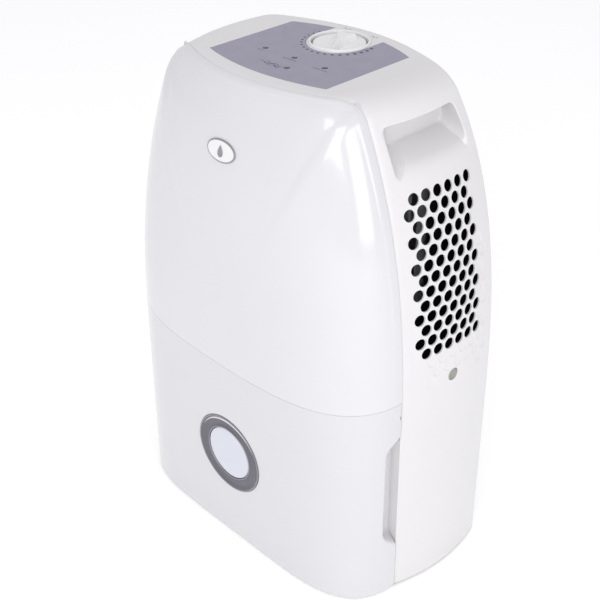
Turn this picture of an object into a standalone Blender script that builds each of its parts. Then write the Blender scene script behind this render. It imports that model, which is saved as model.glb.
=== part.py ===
"""Compressor dehumidifier with a pull-out water tank, a top dial and a side outlet grille.

Millimetres are written as N * MM. The front faces -Y, +Z is up, and the origin is the middle of the
footprint on the floor.
"""
import math

import bmesh
import bpy
from mathutils import Matrix, Vector

MM = 0.001

# Driving dimensions of the casing
HEIGHT = 500 * MM
FRONT = 98.2 * MM  # the front bulges out to -FRONT
REAR = 103 * MM  # and the back to +REAR
SEAM_Y = -31.7 * MM  # where the hood ends and the front shells begin, on the sides
FOOT_GAP = 2 * MM  # height of the casing's lower edge
TANK_LOW = 1 * MM  # height of the tank front's lower edge
SHELL = 2.5 * MM  # moulded wall
GAP = 0.5 * MM  # running gap between neighbours

BASE_HALF_WIDTH = 182.6 * MM
SIDE_TAPER = 0.008  # the sides lean in by this much per metre of height
CROWN_START = 160 * MM  # above this height the sides curve in
CROWN_DROP = 56.5 * MM  # by this much at the full height
CROWN_POWER = 2.9
SHOULDER_Z = 485 * MM  # where the shoulder's round begins
TOP_FLAT = 95 * MM  # half the width of the flat top
WIDEST_Y = 37 * MM
SIDE_RADIUS = 185 * MM  # plan radius of the bulging sides
TOP_NOSE = 28.5 * MM  # how far the hood's top edge runs ahead of SEAM_Y
NOSE_REACH = 105 * MM  # half the width of that nose
DOME_Z = 250 * MM  # the front's dome starts at this height
FRONT_SQUARE = 4.1  # how square the front's plan curve is at that height
FOOT_SQUARE = 1.3  # and how much more at the floor
REAR_ROUND = 5 * MM
REAR_FLANGE = 20 * MM
REAR_BOW = 11.5 * MM  # the back's surface comes forward by this much at its sides
REAR_TOP_BOW = 22.5 * MM  # and by this much more at the top corners

# Split between the front panel and the tank
SPLIT_Z = 232 * MM
SPLIT_BOW = 12 * MM  # the split dips by this much in the middle
SPLIT_GAP = 1.0 * MM

# Outlet grille
HOLE_PITCH = 12.88 * MM
HOLE_ROW = 11.94 * MM
HOLE_RADIUS = 5.5 * MM
HOLE_ROWS = 13
HOLES_IN_ROW = 6
FIRST_HOLE = (-14 * MM, 419.9 * MM)
HOLE_SIDES = 8
HOLE_DIP = 1.3 * MM  # the rows sink by this much towards the front

# Handle pocket: outer opening and inner wall, as (y low, y high, z low, z high)
POCKET_MOUTH = (-22 * MM, 66 * MM, 438 * MM, 478 * MM)
POCKET_BACK = (-6 * MM, 65 * MM, 457 * MM, 481 * MM)
POCKET_MOUTH_X = 160 * MM
POCKET_BACK_X = 110 * MM

# Finger scoop in the tank's side, as (y low, y high, z low, z high) at the surface and at its floor
SCOOP_MOUTH = (-46 * MM, -20 * MM, 57 * MM, 193 * MM)
SCOOP_FLOOR = (-43 * MM, -20 * MM, 73 * MM, 177 * MM)
SCOOP_DEPTH = 12 * MM

# Top controls
DIAL = Vector((0, 58.8 * MM, HEIGHT))
BEZEL_RADIUS = 29 * MM
WELL_RADIUS = 25.6 * MM  # the bezel is a cup that the knob sits in
KNOB_RADIUS = 24.4 * MM
LED_PLACES = {
    "led_power": (-38 * MM, 3.3 * MM),
    "led_running": (-1.3 * MM, 3.3 * MM),
    "led_tank_full": (35.4 * MM, 3.3 * MM),
    "led_defrost": (11.6 * MM, -18.7 * MM),
}
LED_RADIUS = 2.5 * MM
PANEL_HALF = 72 * MM
PANEL_X = -1.3 * MM

# Flanges inside the hood's front edge, beside the tank's bay
BAY_FRAME_Z = (14 * MM, 228 * MM)
BAY_FRAME_Y = -30 * MM

# Tank
WINDOW_Z = 112 * MM
WINDOW_RADIUS = 44.5 * MM
LENS_RADIUS = 29 * MM
BUCKET_TOP = 200 * MM
BULKHEAD_Y = -24 * MM
DRAIN = Vector((0, 24.7 * MM, 240.4 * MM))
PLUG_RADIUS = 5.8 * MM

FEET = {
    "foot_front": (100 * MM, -62 * MM),
    "foot_side": (160 * MM, -4 * MM),
    "foot_rear": (148 * MM, 72 * MM),
}
PAN_LOW, PAN_HIGH = 6.6 * MM, 9.4 * MM

# Coils, fan and outlet duct
COIL_HALF = 118 * MM
COIL_Z = (262 * MM, 438 * MM)
FAN = Vector((-12 * MM, 0, 345 * MM))
SCROLL_RADIUS = 74 * MM
SHROUD_WALL = 2.2 * MM
SHROUD_Y = -23 * MM
DUCT_LOW = Vector((121 * MM, -27 * MM, 262 * MM))
DUCT_HIGH = Vector((175 * MM, 73 * MM, 428 * MM))

# Back
GRILLE_HALF = 100 * MM
GRILLE_Z = (262 * MM, 438 * MM)
COVER_SINK = SHELL + 2 * MM  # how far the cover lies inside the hood's rear flange

COLOURS = {
    "white": ((0.90, 0.90, 0.91), 0.28, 0.0),
    "gloss_white": ((0.92, 0.92, 0.94), 0.12, 0.0),
    "panel_grey": ((0.42, 0.41, 0.47), 0.45, 0.2),
    "bezel_grey": ((0.20, 0.19, 0.23), 0.3, 0.5),
    "lens_blue": ((0.74, 0.79, 0.87), 0.15, 0.0),
    "dark": ((0.05, 0.05, 0.06), 0.5, 0.0),
    "rubber": ((0.45, 0.46, 0.44), 0.8, 0.0),
    "clear": ((0.80, 0.85, 0.88), 0.2, 0.0),
    "steel": ((0.55, 0.56, 0.58), 0.35, 0.9),
    "black_metal": ((0.04, 0.04, 0.045), 0.4, 0.3),
    "copper": ((0.72, 0.40, 0.26), 0.3, 1.0),
    "aluminium": ((0.75, 0.76, 0.78), 0.35, 0.9),
    "board": ((0.06, 0.26, 0.14), 0.5, 0.0),
    "foam": ((0.92, 0.92, 0.90), 0.9, 0.0),
    "chrome": ((0.62, 0.63, 0.66), 0.2, 0.9),
}


# ---------------------------------------------------------------- scene and mesh helpers

def clear_scene():
    for obj in list(bpy.data.objects):
        bpy.data.objects.remove(obj, do_unlink=True)
    for name in ("dehumidifier", "cutters"):
        bpy.context.scene.collection.children.link(bpy.data.collections.new(name))
    bpy.data.collections["cutters"].hide_render = True


def material(name):
    found = bpy.data.materials.get(name)
    if found:
        return found
    made = bpy.data.materials.new(name)
    made.use_nodes = True
    colour, roughness, metallic = COLOURS[name]
    shader = made.node_tree.nodes["Principled BSDF"]
    shader.inputs["Base Color"].default_value = (*colour, 1)
    shader.inputs["Roughness"].default_value = roughness
    shader.inputs["Metallic"].default_value = metallic
    return made


def add_object(name, data, colour=None):
    """Links data as an object: a part where it has a colour, and a cutter where it has none."""
    obj = bpy.data.objects.new(name, data)
    if colour:
        data.materials.append(material(colour))
        bpy.data.collections["dehumidifier"].objects.link(obj)
    else:
        bpy.data.collections["cutters"].objects.link(obj)
        obj.hide_render = True
        obj.display_type = "WIRE"
    return obj


def from_bmesh(name, bm, colour=None):
    mesh = bpy.data.meshes.new(name)
    bmesh.ops.recalc_face_normals(bm, faces=bm.faces)
    bm.to_mesh(mesh)
    bm.free()
    return add_object(name, mesh, colour)


def box(name, low, high, colour=None):
    bm = bmesh.new()
    bmesh.ops.create_cube(bm, size=1)
    size = Vector(high) - Vector(low)
    middle = (Vector(high) + Vector(low)) / 2
    bmesh.ops.scale(bm, vec=size, verts=bm.verts)
    bmesh.ops.translate(bm, vec=middle, verts=bm.verts)
    return from_bmesh(name, bm, colour)


def turn_to(axis):
    """Rotation that carries +Z onto axis."""
    return Vector((0, 0, 1)).rotation_difference(Vector(axis)).to_matrix().to_4x4()


def cylinder(name, start, axis, radius, length, colour=None, sides=24, top_radius=None):
    bm = bmesh.new()
    bmesh.ops.create_cone(
        bm,
        cap_ends=True,
        segments=sides,
        radius1=radius,
        radius2=radius if top_radius is None else top_radius,
        depth=length,
    )
    bmesh.ops.translate(bm, vec=(0, 0, length / 2), verts=bm.verts)
    bm.transform(Matrix.Translation(start) @ turn_to(axis))
    return from_bmesh(name, bm, colour)


def turned(name, profile, place, axis, colour=None, steps=32):
    """A Screw of the profile, which is a list of (radius, height) from top to bottom on its outer side."""
    mesh = bpy.data.meshes.new(name)
    points = [(r, 0, h) for r, h in profile]
    closed = profile[0][0] > 1e-6
    edges = [(i, i + 1) for i in range(len(points) - 1)]
    if closed:
        edges.append((len(points) - 1, 0))
    mesh.from_pydata(points, edges, [])
    obj = add_object(name, mesh, colour)
    obj.matrix_world = Matrix.Translation(place) @ turn_to(axis)
    screw = obj.modifiers.new("turn", "SCREW")
    screw.steps = steps
    screw.render_steps = steps
    screw.use_merge_vertices = True
    screw.merge_threshold = 0.00005
    return obj


def plate(name, outline, start, axis, thickness, colour=None):
    """A flat outline of (u, v) points, extruded from start along axis. With axis +Y, u is x and v is z;
    with axis +Z, u is x and v is y."""
    bm = bmesh.new()
    upright = Vector(axis).y > 0.5
    corners = [bm.verts.new((u, 0, v) if upright else (u, v, 0)) for u, v in outline]
    face = bm.faces.new(corners)
    grown = bmesh.ops.extrude_face_region(bm, geom=[face])["geom"]
    moved = [v for v in grown if isinstance(v, bmesh.types.BMVert)]
    bmesh.ops.translate(bm, vec=Vector(axis) * thickness, verts=moved)
    bmesh.ops.translate(bm, vec=start, verts=bm.verts)
    return from_bmesh(name, bm, colour)


def tube(name, points, radius, colour, resolution=2):
    curve = bpy.data.curves.new(name, "CURVE")
    curve.dimensions = "3D"
    curve.bevel_depth = radius
    curve.bevel_resolution = resolution
    curve.use_fill_caps = True
    spline = curve.splines.new("POLY")
    spline.points.add(len(points) - 1)
    for point, place in zip(spline.points, points):
        point.co = (*place, 1)
    return add_object(name, curve, colour)


def add_bevel(obj, width, segments=1):
    bevel = obj.modifiers.new("edges", "BEVEL")
    bevel.width = width
    bevel.segments = segments
    bevel.limit_method = "ANGLE"
    bevel.angle_limit = math.radians(40)


def add_boolean(obj, other, operation="DIFFERENCE"):
    modifier = obj.modifiers.new(operation.lower(), "BOOLEAN")
    modifier.operation = operation
    modifier.object = other
    modifier.solver = "EXACT"


def join_meshes(name, objects):
    """One cutter made of several separate bodies."""
    bm = bmesh.new()
    for obj in objects:
        mesh = obj.data
        mesh.transform(obj.matrix_world)
        bm.from_mesh(mesh)
        bpy.data.objects.remove(obj)
    return from_bmesh(name, bm)


def grid_surface(name, rows, colour, thickness):
    """An open surface through rows of points, thickened by Solidify. Seen from outside, each row runs from
    left to right and the next one lies above it, or the wall would grow outwards."""
    bm = bmesh.new()
    made = [[bm.verts.new(p) for p in row] for row in rows]
    for low, high in zip(made, made[1:]):
        for i in range(len(low) - 1):
            bm.faces.new((low[i], low[i + 1], high[i + 1], high[i]))
    mesh = bpy.data.meshes.new(name)
    bm.to_mesh(mesh)
    bm.free()
    mesh.shade_smooth()
    obj = add_object(name, mesh, colour)
    solidify = obj.modifiers.new("wall", "SOLIDIFY")
    solidify.thickness = thickness
    solidify.offset = -1
    solidify.use_even_offset = True
    return obj


def steps(low, high, count):
    return [low + (high - low) * i / (count - 1) for i in range(count)]


def arc_points(centre, radius, start_deg, end_deg, count):
    angles = [math.radians(a) for a in steps(start_deg, end_deg, count)]
    return [(centre[0] + radius * math.cos(a), centre[1] + radius * math.sin(a)) for a in angles]


# ---------------------------------------------------------------- the casing's form

def side_x(z):
    """Half the casing's width at height z, on its widest plane, below the shoulder."""
    crown = max(0.0, (z - CROWN_START) / (HEIGHT - CROWN_START))
    return BASE_HALF_WIDTH - SIDE_TAPER * z - CROWN_DROP * crown**CROWN_POWER


def shoulder(share):
    """(x, z) along the shoulder's round: 0 is its lower end and 1 is the edge of the flat top."""
    low = Vector((side_x(SHOULDER_Z), SHOULDER_Z))
    lean = (side_x(SHOULDER_Z + MM) - side_x(SHOULDER_Z - MM)) / (2 * MM)
    corner = Vector((low.x + lean * (HEIGHT - SHOULDER_Z), HEIGHT))
    high = Vector((TOP_FLAT, HEIGHT))
    return low.lerp(corner, share).lerp(corner.lerp(high, share), share)


def half_width(z):
    """Half the casing's width at any height, shoulder included."""
    if z <= SHOULDER_Z:
        return side_x(z)
    low, high = 0.0, 1.0
    for _ in range(30):
        middle = (low + high) / 2
        if shoulder(middle).y < z:
            low = middle
        else:
            high = middle
    return shoulder(low).x


def waist(x, y):
    """How far the side at x, y lies inside its widest plane."""
    reach = max(y, SEAM_Y) - WIDEST_Y
    return math.copysign(1, x) * min(1, abs(x) / (110 * MM)) * reach**2 / (2 * SIDE_RADIUS)


def front_edge(x, z):
    """y of the hood's front edge at a point of its outline."""
    if z < SHOULDER_Z:
        return SEAM_Y
    return SEAM_Y - TOP_NOSE * max(0.0, 1 - (x / NOSE_REACH) ** 2)


def rear_y(x, z):
    """y of the back's surface."""
    drop = REAR_BOW + REAR_TOP_BOW * (z / HEIGHT) ** 8
    return REAR - drop * (x / side_x(z)) ** 2


def outline(low_z, side_count, inset=0.0):
    """The hood's front-elevation outline from the lower right, over the top, to the lower left. Its points
    are closer together towards the shoulder, where it curves more."""
    eased = [1 - (1 - t) ** 1.5 for t in steps(0, 1, side_count)]
    heights = [low_z + (SHOULDER_Z - low_z) * t for t in eased]
    half = [Vector((side_x(z), z)) for z in heights]
    half += [shoulder(s) for s in steps(0, 1, 5)[1:]]
    half.append(Vector((TOP_FLAT / 2, HEIGHT)))
    points = half + [Vector((0, HEIGHT))] + [Vector((-p.x, p.y)) for p in reversed(half)]
    return inset_points(points, inset)


def inset_points(points, distance):
    moved = []
    for i, point in enumerate(points):
        before = points[max(0, i - 1)]
        after = points[min(len(points) - 1, i + 1)]
        along = (after - before).normalized()
        moved.append(point + Vector((-along.y, along.x)) * distance)
    return moved


def dome_share(x, z):
    """(share of the way from the front's middle to its rim, that rim point's x and z, rise of the ray)."""
    if z <= DOME_Z:
        reach = side_x(z) - waist(side_x(z), SEAM_Y)
        return min(1.0, abs(x) / reach), reach, z, 0.0
    dx, dz = abs(x), z - DOME_Z
    low, high = 0.5, 60.0
    for _ in range(40):
        middle = (low + high) / 2
        zz = DOME_Z + dz * middle
        xx = dx * middle
        outside = zz > HEIGHT or xx > half_width(zz) - waist(half_width(zz), SEAM_Y)
        low, high = (low, middle) if outside else (middle, high)
    rise = dz * dz / (dx * dx + dz * dz)
    return min(1.0, 1 / low), dx * low, DOME_Z + dz * low, rise


def front_y(x, z):
    """y of the front's surface: flat in the middle, rounding back to the hood's edge at the rim."""
    share, rim_x, rim_z, rise = dome_share(x, z)
    rim_y = front_edge(rim_x, rim_z) - GAP
    face = FRONT - 1.7 * MM * (1 - min(1.0, z / DOME_Z)) - 0.4 * MM
    power = FRONT_SQUARE + FOOT_SQUARE * max(0.0, 1 - z / DOME_Z) - 1.7 * rise
    return rim_y - (face + rim_y) * math.sqrt(max(0.0, 1 - share**power))


def split_z(x):
    """Height of the split between the front panel and the tank."""
    return SPLIT_Z - SPLIT_BOW * max(0.0, 1 - (x / side_x(SPLIT_Z)) ** 2)


# Columns are packed towards the rims, where the front rounds away
COLUMN_SHARES = [0.0, 0.25, 0.48, 0.67, 0.81, 0.905, 0.965, 0.992, 1.0]
COLUMNS = [-s for s in reversed(COLUMN_SHARES[1:])] + COLUMN_SHARES


# ---------------------------------------------------------------- casing parts

def hood_rows():
    """Rows of points over the hood, from the rear flange, over the rear edge's round, to the front edge."""
    base = outline(FOOT_GAP, 9)
    rows = []
    for share in (0, 0.12, 0.3, 0.5, 0.7, 0.87, 1):
        row = []
        for p in base:
            front = front_edge(p.x - waist(p.x, SEAM_Y), p.y)
            y = front * (1 - share) + (rear_y(p.x, p.y) - REAR_ROUND) * share
            row.append((p.x - waist(p.x, y), y, p.y))
        rows.append(row)
    for degrees, extra in ((35, 0), (65, 0), (90, 0), (90, REAR_FLANGE)):
        angle = math.radians(degrees)
        pulled = inset_points(base, REAR_ROUND * (1 - math.cos(angle)) + extra)
        row = []
        for p in pulled:
            y = rear_y(p.x, p.y) - REAR_ROUND * (1 - math.sin(angle))
            row.append((p.x - waist(p.x, y), y, max(p.y, FOOT_GAP)))
        rows.append(row)
    return rows[::-1]


def row_dip(y):
    """How far a row of outlet holes has sunk at y."""
    share = (25 * MM - y) / (38 * MM)
    return HOLE_DIP * min(1.0, max(0.0, share)) ** 2


def vent_holes():
    """Round cutters through the right side, in staggered rows."""
    found = []
    for row in range(HOLE_ROWS):
        shift = 0.5 if row % 2 == 0 else 0
        for i in range(HOLES_IN_ROW):
            y = FIRST_HOLE[0] + (i + shift) * HOLE_PITCH
            z = FIRST_HOLE[1] - row * HOLE_ROW - row_dip(y)
            x = side_x(z) - waist(side_x(z), y)
            start = (x - 12 * MM, y, z)
            found.append(cylinder("hole", start, (1, 0, 0), HOLE_RADIUS, 20 * MM, sides=HOLE_SIDES))
    return join_meshes("vent_holes", found)


def wedge(name, side, corners_out, corners_in):
    """A six-faced block between an outer and an inner rectangle of (x, y, z) corners, mirrored by side."""
    bm = bmesh.new()
    outer = [bm.verts.new((side * x, y, z)) for x, y, z in corners_out]
    inner = [bm.verts.new((side * x, y, z)) for x, y, z in corners_in]
    bm.faces.new(outer)
    bm.faces.new(inner)
    for i in range(4):
        j = (i + 1) % 4
        bm.faces.new((outer[i], outer[j], inner[j], inner[i]))
    return from_bmesh(name, bm)


def pocket_wedge(name, side, grow):
    """The handle pocket's space, from well outside the side in to its back wall, grown all round."""
    slope = 0.35  # share by which the mouth widens between the side and POCKET_MOUTH_X
    near = []
    for (a, b, c, d), x in ((POCKET_MOUTH, POCKET_MOUTH_X), (POCKET_BACK, POCKET_BACK_X - grow)):
        if x == POCKET_MOUTH_X:
            widen = [slope * (m - n) for m, n in zip(POCKET_MOUTH, POCKET_BACK)]
            a, b, c, d = (m + w for m, w in zip((a, b, c, d), widen))
        a, b, c, d = a - grow, b + grow, c - grow, d + grow
        near.append([(x, a, c), (x, b, c), (x, b, d), (x, a, d)])
    return wedge(name, side, *near)


def hood_solid(name, inset):
    """The casing as one block, its sides and top inset from the surface, used to trim other blocks."""
    base = outline(FOOT_GAP, 9, inset)
    rows = []
    for y in steps(-70 * MM, 80 * MM, 9):
        rows.append([(p.x - waist(p.x, y), y, p.y) for p in base])
    bm = bmesh.new()
    made = [[bm.verts.new(p) for p in row] for row in rows]
    for low, high in zip(made, made[1:]):
        for i in range(len(low)):
            j = (i + 1) % len(low)
            bm.faces.new((low[i], low[j], high[j], high[i]))
    bm.faces.new(made[0])
    bm.faces.new(made[-1])
    return from_bmesh(name, bm)


def panel_outline(grow=0.0):
    """The grey top panel: bowed front and back edges, with a notch for the dial open to the back."""
    half = PANEL_HALF + grow
    front = [(x, -43.6 * MM - grow + 2.3 * x * x) for x in steps(-half, half, 11)]
    notch = 31 * MM - grow

    def back(x):
        return 88.7 * MM + grow - 3.315 * x * x

    right = [(x, back(x)) for x in steps(half, notch, 4)]
    bay = arc_points((0, DIAL.y), notch, 0, -180, 13)
    left = [(-x, y) for x, y in reversed(right)]
    return [(x + PANEL_X, y) for x, y in front + right + bay + left]


def make_hood():
    hood = grid_surface("outer_housing", hood_rows(), "white", SHELL)
    solid = hood_solid("hood_solid", SHELL / 2)
    for side, label in ((1, "right"), (-1, "left")):
        lining = pocket_wedge(f"pocket_lining_{label}", side, SHELL)
        add_boolean(lining, solid, "INTERSECT")
        add_boolean(hood, lining, "UNION")
        add_boolean(hood, pocket_wedge(f"pocket_space_{label}", side, 0))
    recess = plate(
        "panel_recess", panel_outline(GAP), (0, 0, HEIGHT - 1.1 * MM), (0, 0, 1), 5 * MM
    )
    well = WELL_RADIUS + 1.7 * MM
    tools = [cylinder("dial_hole", DIAL - Vector((0, 0, 9 * MM)), (0, 0, 1), well, 20 * MM, sides=40)]
    for x, y in LED_PLACES.values():
        tools.append(
            cylinder("led_hole", (x, y, HEIGHT - 9 * MM), (0, 0, 1), LED_RADIUS + GAP, 20 * MM, sides=12)
        )
    drain_x = side_x(DRAIN.z) - 15 * MM
    tools.append(
        cylinder("drain_hole", (drain_x, DRAIN.y, DRAIN.z), (1, 0, 0), PLUG_RADIUS + GAP, 30 * MM, sides=24)
    )
    for side, label in ((1, "right"), (-1, "left")):
        corners = [(side * 152 * MM, z) for z in BAY_FRAME_Z]
        for z in reversed(BAY_FRAME_Z):
            wall = side_x(z) - waist(side_x(z), BAY_FRAME_Y) - SHELL / 2
            corners.append((side * wall, z))
        frame = plate(f"bay_frame_{label}", corners, (0, SEAM_Y + GAP, 0), (0, 1, 0), 2.6 * MM)
        add_boolean(hood, frame, "UNION")
    add_boolean(hood, recess)
    add_boolean(hood, vent_holes())
    add_boolean(hood, join_meshes("hood_holes", tools))
    return hood


def panel_patch():
    """Rows of (x, z) that fill the front panel's outline: a blend of its four edges."""
    rim = outline(SPLIT_Z, 7)
    corner = 8  # the point of the outline, on the shoulder, where the patch turns its corner
    side = rim[: corner + 1]
    top = [Vector((-p.x, p.y)) for p in rim[corner : len(rim) // 2 + 1]]
    top += [Vector((-p.x, p.y)) for p in reversed(top[:-1])]
    rows = []
    lengths = [0.0]
    for a, b in zip(side, side[1:]):
        lengths.append(lengths[-1] + (b - a).length)
    for share in (0, 0.2, 0.4, 0.58, 0.73, 0.85, 0.93, 0.975, 1):
        rows.append(patch_row(share, side, lengths, top))
    return rows


def along(points, lengths, share):
    """The point at a share of a line's length."""
    target = share * lengths[-1]
    for i in range(len(points) - 1):
        if target <= lengths[i + 1] + 1e-12:
            part = (target - lengths[i]) / (lengths[i + 1] - lengths[i])
            return points[i].lerp(points[i + 1], part)
    return points[-1]


def patch_row(share, side, lengths, top):
    right = along(side, lengths, share)
    left = Vector((-right.x, right.y))
    bottom_reach = side[0].x
    top_lengths = [0.0]
    for a, b in zip(top, top[1:]):
        top_lengths.append(top_lengths[-1] + (b - a).length)
    row = []
    for u in COLUMNS:
        t = (u + 1) / 2
        low = Vector((u * bottom_reach, side[0].y))
        high = along(top, top_lengths, t)
        edge = left.lerp(right, t)
        corners = Vector((-side[0].x, side[0].y)).lerp(side[0], t) * (1 - share)
        corners += Vector((top[0].x, top[0].y)).lerp(top[-1], t) * share
        row.append(low * (1 - share) + high * share + edge - corners)
    return row


def on_front(x, z, bowed_z):
    """The front surface's point for x and z, drawn at the height bowed_z."""
    shrunk = x - waist(x, SEAM_Y)
    return (shrunk, front_y(shrunk, z), bowed_z)


def make_front_panel():
    rows = []
    patch = panel_patch()
    for row in patch:
        made = []
        for u, p in zip(COLUMNS, row):
            fade = max(0.0, 1 - (p.y - SPLIT_Z) / (120 * MM))
            z = p.y - (SPLIT_Z - split_z(p.x)) * fade + SPLIT_GAP * fade / 2
            x, y, z = on_front(p.x, p.y, z)
            if abs(u) == 1 or row is patch[-1]:
                y = front_edge(x, p.y) - 1.6 * GAP
            made.append((x, y, z))
        rows.append(made)
    # A short lip along the top edge, so that the wall ends square to the hood's edge
    edge = rows[-1]
    rows[-1] = [(x, y - 3 * MM * (1 - u**8), z) for u, (x, y, z) in zip(COLUMNS, edge)]
    rows.append(edge)
    return grid_surface("front_panel", rows, "gloss_white", SHELL)


def scoop_wedge(name, side, grow):
    surface_x = side_x(120 * MM) + 12 * MM
    edge_x = side_x(120 * MM) - waist(side_x(120 * MM), SEAM_Y)
    floor_x = edge_x - SCOOP_DEPTH - grow
    found = []
    for (a, b, c, d), x in ((SCOOP_MOUTH, surface_x), (SCOOP_FLOOR, floor_x)):
        a, c, d = a - grow, c - grow, d + grow
        found.append([(x, a, c), (x, b, c), (x, b, d), (x, a, d)])
    return wedge(name, side, *found)


def tank_rows(sunk=0.0):
    """Rows of points over the tank's front, sunk by a distance below its surface."""
    rows = []
    for share in (0, 0.03, 0.2, 0.4, 0.6, 0.8, 1):
        z = TANK_LOW + (SPLIT_Z - TANK_LOW) * share
        row = []
        for u in COLUMNS:
            x = u * side_x(z)
            bowed = z - (SPLIT_Z - split_z(x)) * share**3 - SPLIT_GAP * share / 2
            place = Vector(on_front(x, z, bowed))
            row.append(place + Vector((-sunk * u, sunk * (1 - u * u), 0)))
        rows.append(row)
    return rows


def tank_solid():
    """The tank front's volume to halfway into its wall, used to trim the scoops' linings."""
    bm = bmesh.new()
    made = [[bm.verts.new(p) for p in row] for row in tank_rows(SHELL / 2)]
    for low, high in zip(made, made[1:]):
        for i in range(len(low)):
            j = (i + 1) % len(low)
            bm.faces.new((low[i], low[j], high[j], high[i]))
    bm.faces.new(made[0])
    bm.faces.new(made[-1])
    return from_bmesh("tank_solid", bm)


def make_tank_front():
    front = grid_surface("tank_front", tank_rows(), "gloss_white", SHELL)
    solid = tank_solid()
    for side, label in ((1, "right"), (-1, "left")):
        lining = scoop_wedge(f"scoop_lining_{label}", side, SHELL)
        add_boolean(lining, solid, "INTERSECT")
        add_boolean(front, lining, "UNION")
        add_boolean(front, scoop_wedge(f"scoop_space_{label}", side, 0))
    hole = cylinder(
        "window_hole", (0, -FRONT - 10 * MM, WINDOW_Z), (0, 1, 0), WINDOW_RADIUS - 3 * MM, 25 * MM, sides=32
    )
    add_boolean(front, hole)
    return front


def bucket_outline(reach, depth, back):
    """Plan outline that follows the tank front: reach is half the width and depth is how far it comes out."""
    front = [(u * reach, SEAM_Y - depth * math.sqrt(max(0.0, 1 - u**4))) for u in COLUMNS]
    return front + [(reach, back), (-reach, back)]


def make_water_tank():
    tank = plate("water_tank", bucket_outline(150 * MM, 55 * MM, -27.5 * MM), (0, 0, 10 * MM), (0, 0, 1),
                 BUCKET_TOP - 10 * MM, "clear")
    hollow = plate("tank_hollow", bucket_outline(147.5 * MM, 52.5 * MM, -30 * MM), (0, 0, 12.5 * MM),
                   (0, 0, 1), BUCKET_TOP)
    add_boolean(tank, hollow)


# ---------------------------------------------------------------- trims and controls

def make_window():
    place = (0, -90 * MM, WINDOW_Z)
    outer = WINDOW_RADIUS
    profile = [
        (outer - 1.4 * MM, 8 * MM),
        (outer, 7.2 * MM),
        (outer - 3.5 * MM, 7.2 * MM),
        (outer - 3.5 * MM, 0),
        (LENS_RADIUS + 0.3 * MM, 0),
        (LENS_RADIUS + 0.3 * MM, 3 * MM),
        (LENS_RADIUS + 1.6 * MM, 3.7 * MM),
        (outer - 2.5 * MM, 7 * MM),
    ]
    turned("window_bezel", profile, place, (0, -1, 0), "bezel_grey", 40)
    cylinder("window_lens", (0, -90.3 * MM, WINDOW_Z), (0, -1, 0), LENS_RADIUS, 2.3 * MM, "lens_blue", 40)


def make_badge():
    z = 439 * MM
    slope = (front_y(0, z + MM) - front_y(0, z - MM)) / (2 * MM)
    normal = Vector((0, -1, slope)).normalized()
    bm = bmesh.new()
    bmesh.ops.create_cone(bm, cap_ends=True, segments=32, radius1=1, radius2=0.94, depth=1)
    bmesh.ops.translate(bm, vec=(0, 0, 0.5), verts=bm.verts)
    bmesh.ops.scale(bm, vec=(18 * MM, 10 * MM, 1.2 * MM), verts=bm.verts)
    bm.transform(Matrix.Translation(Vector((0, front_y(0, z), z)) + normal * 0.4 * MM) @ turn_to(normal))
    from_bmesh("badge", bm, "chrome")


def make_top_controls():
    panel = plate("control_panel", panel_outline(), (0, 0, HEIGHT - 0.8 * MM), (0, 0, 1), 0.7 * MM,
                  "panel_grey")
    holes = []
    for name, (x, y) in LED_PLACES.items():
        holes.append(cylinder("hole", (x, y, HEIGHT - 4 * MM), (0, 0, 1), LED_RADIUS + GAP, 8 * MM, sides=12))
        cylinder(name, (x, y, HEIGHT - 6 * MM), (0, 0, 1), LED_RADIUS, 6.3 * MM, "dark", 12)
    add_boolean(panel, join_meshes("led_holes", holes))

    cup = [
        (BEZEL_RADIUS - 1.6 * MM, 2.2 * MM),
        (BEZEL_RADIUS - 0.3 * MM, 1.5 * MM),
        (BEZEL_RADIUS, 0.4 * MM),
        (WELL_RADIUS + 1.2 * MM, 0.4 * MM),
        (WELL_RADIUS + 1.2 * MM, -7.5 * MM),
        (4.4 * MM, -7.5 * MM),
        (4.4 * MM, -6 * MM),
        (WELL_RADIUS, -6 * MM),
        (WELL_RADIUS, 1.6 * MM),
        (WELL_RADIUS + 0.7 * MM, 2.2 * MM),
    ]
    turned("dial_bezel", cup, DIAL, (0, 0, 1), "white", 40)

    disc = [
        (0, 1.8 * MM),
        (KNOB_RADIUS - 2 * MM, 1.8 * MM),
        (KNOB_RADIUS, 0.8 * MM),
        (KNOB_RADIUS, -5.2 * MM),
        (3.4 * MM, -5.2 * MM),
        (3.4 * MM, -1 * MM),
        (0, -1 * MM),
    ]
    knob = turned("control_knob", disc, DIAL, (0, 0, 1), "white", 40)
    corners = [(10.5 * MM, -20.5 * MM), (7 * MM, 18.5 * MM), (-14 * MM, 12 * MM)]
    grip = plate("knob_grip", corners, DIAL + Vector((0, 0, 1 * MM)), (0, 0, 1), 4.6 * MM)
    add_bevel(grip, 1.5 * MM, 2)
    add_boolean(knob, grip, "UNION")

    body = [
        (3.4 * MM, -8.2 * MM),
        (5.4 * MM, -8.2 * MM),
        (5.4 * MM, -17 * MM),
        (17 * MM, -17 * MM),
        (17 * MM, -35 * MM),
        (3.4 * MM, -35 * MM),
    ]
    turned("humidistat", body, DIAL, (0, 0, 1), "dark", 20)
    cylinder("humidistat_shaft", DIAL - Vector((0, 0, 34 * MM)), (0, 0, 1), 3 * MM, 32.5 * MM, "steel", 12)
    box("control_board", (-62 * MM, -42 * MM, 484 * MM), (62 * MM, 12 * MM, 485.6 * MM), "board")


# ---------------------------------------------------------------- base and tank works

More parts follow.
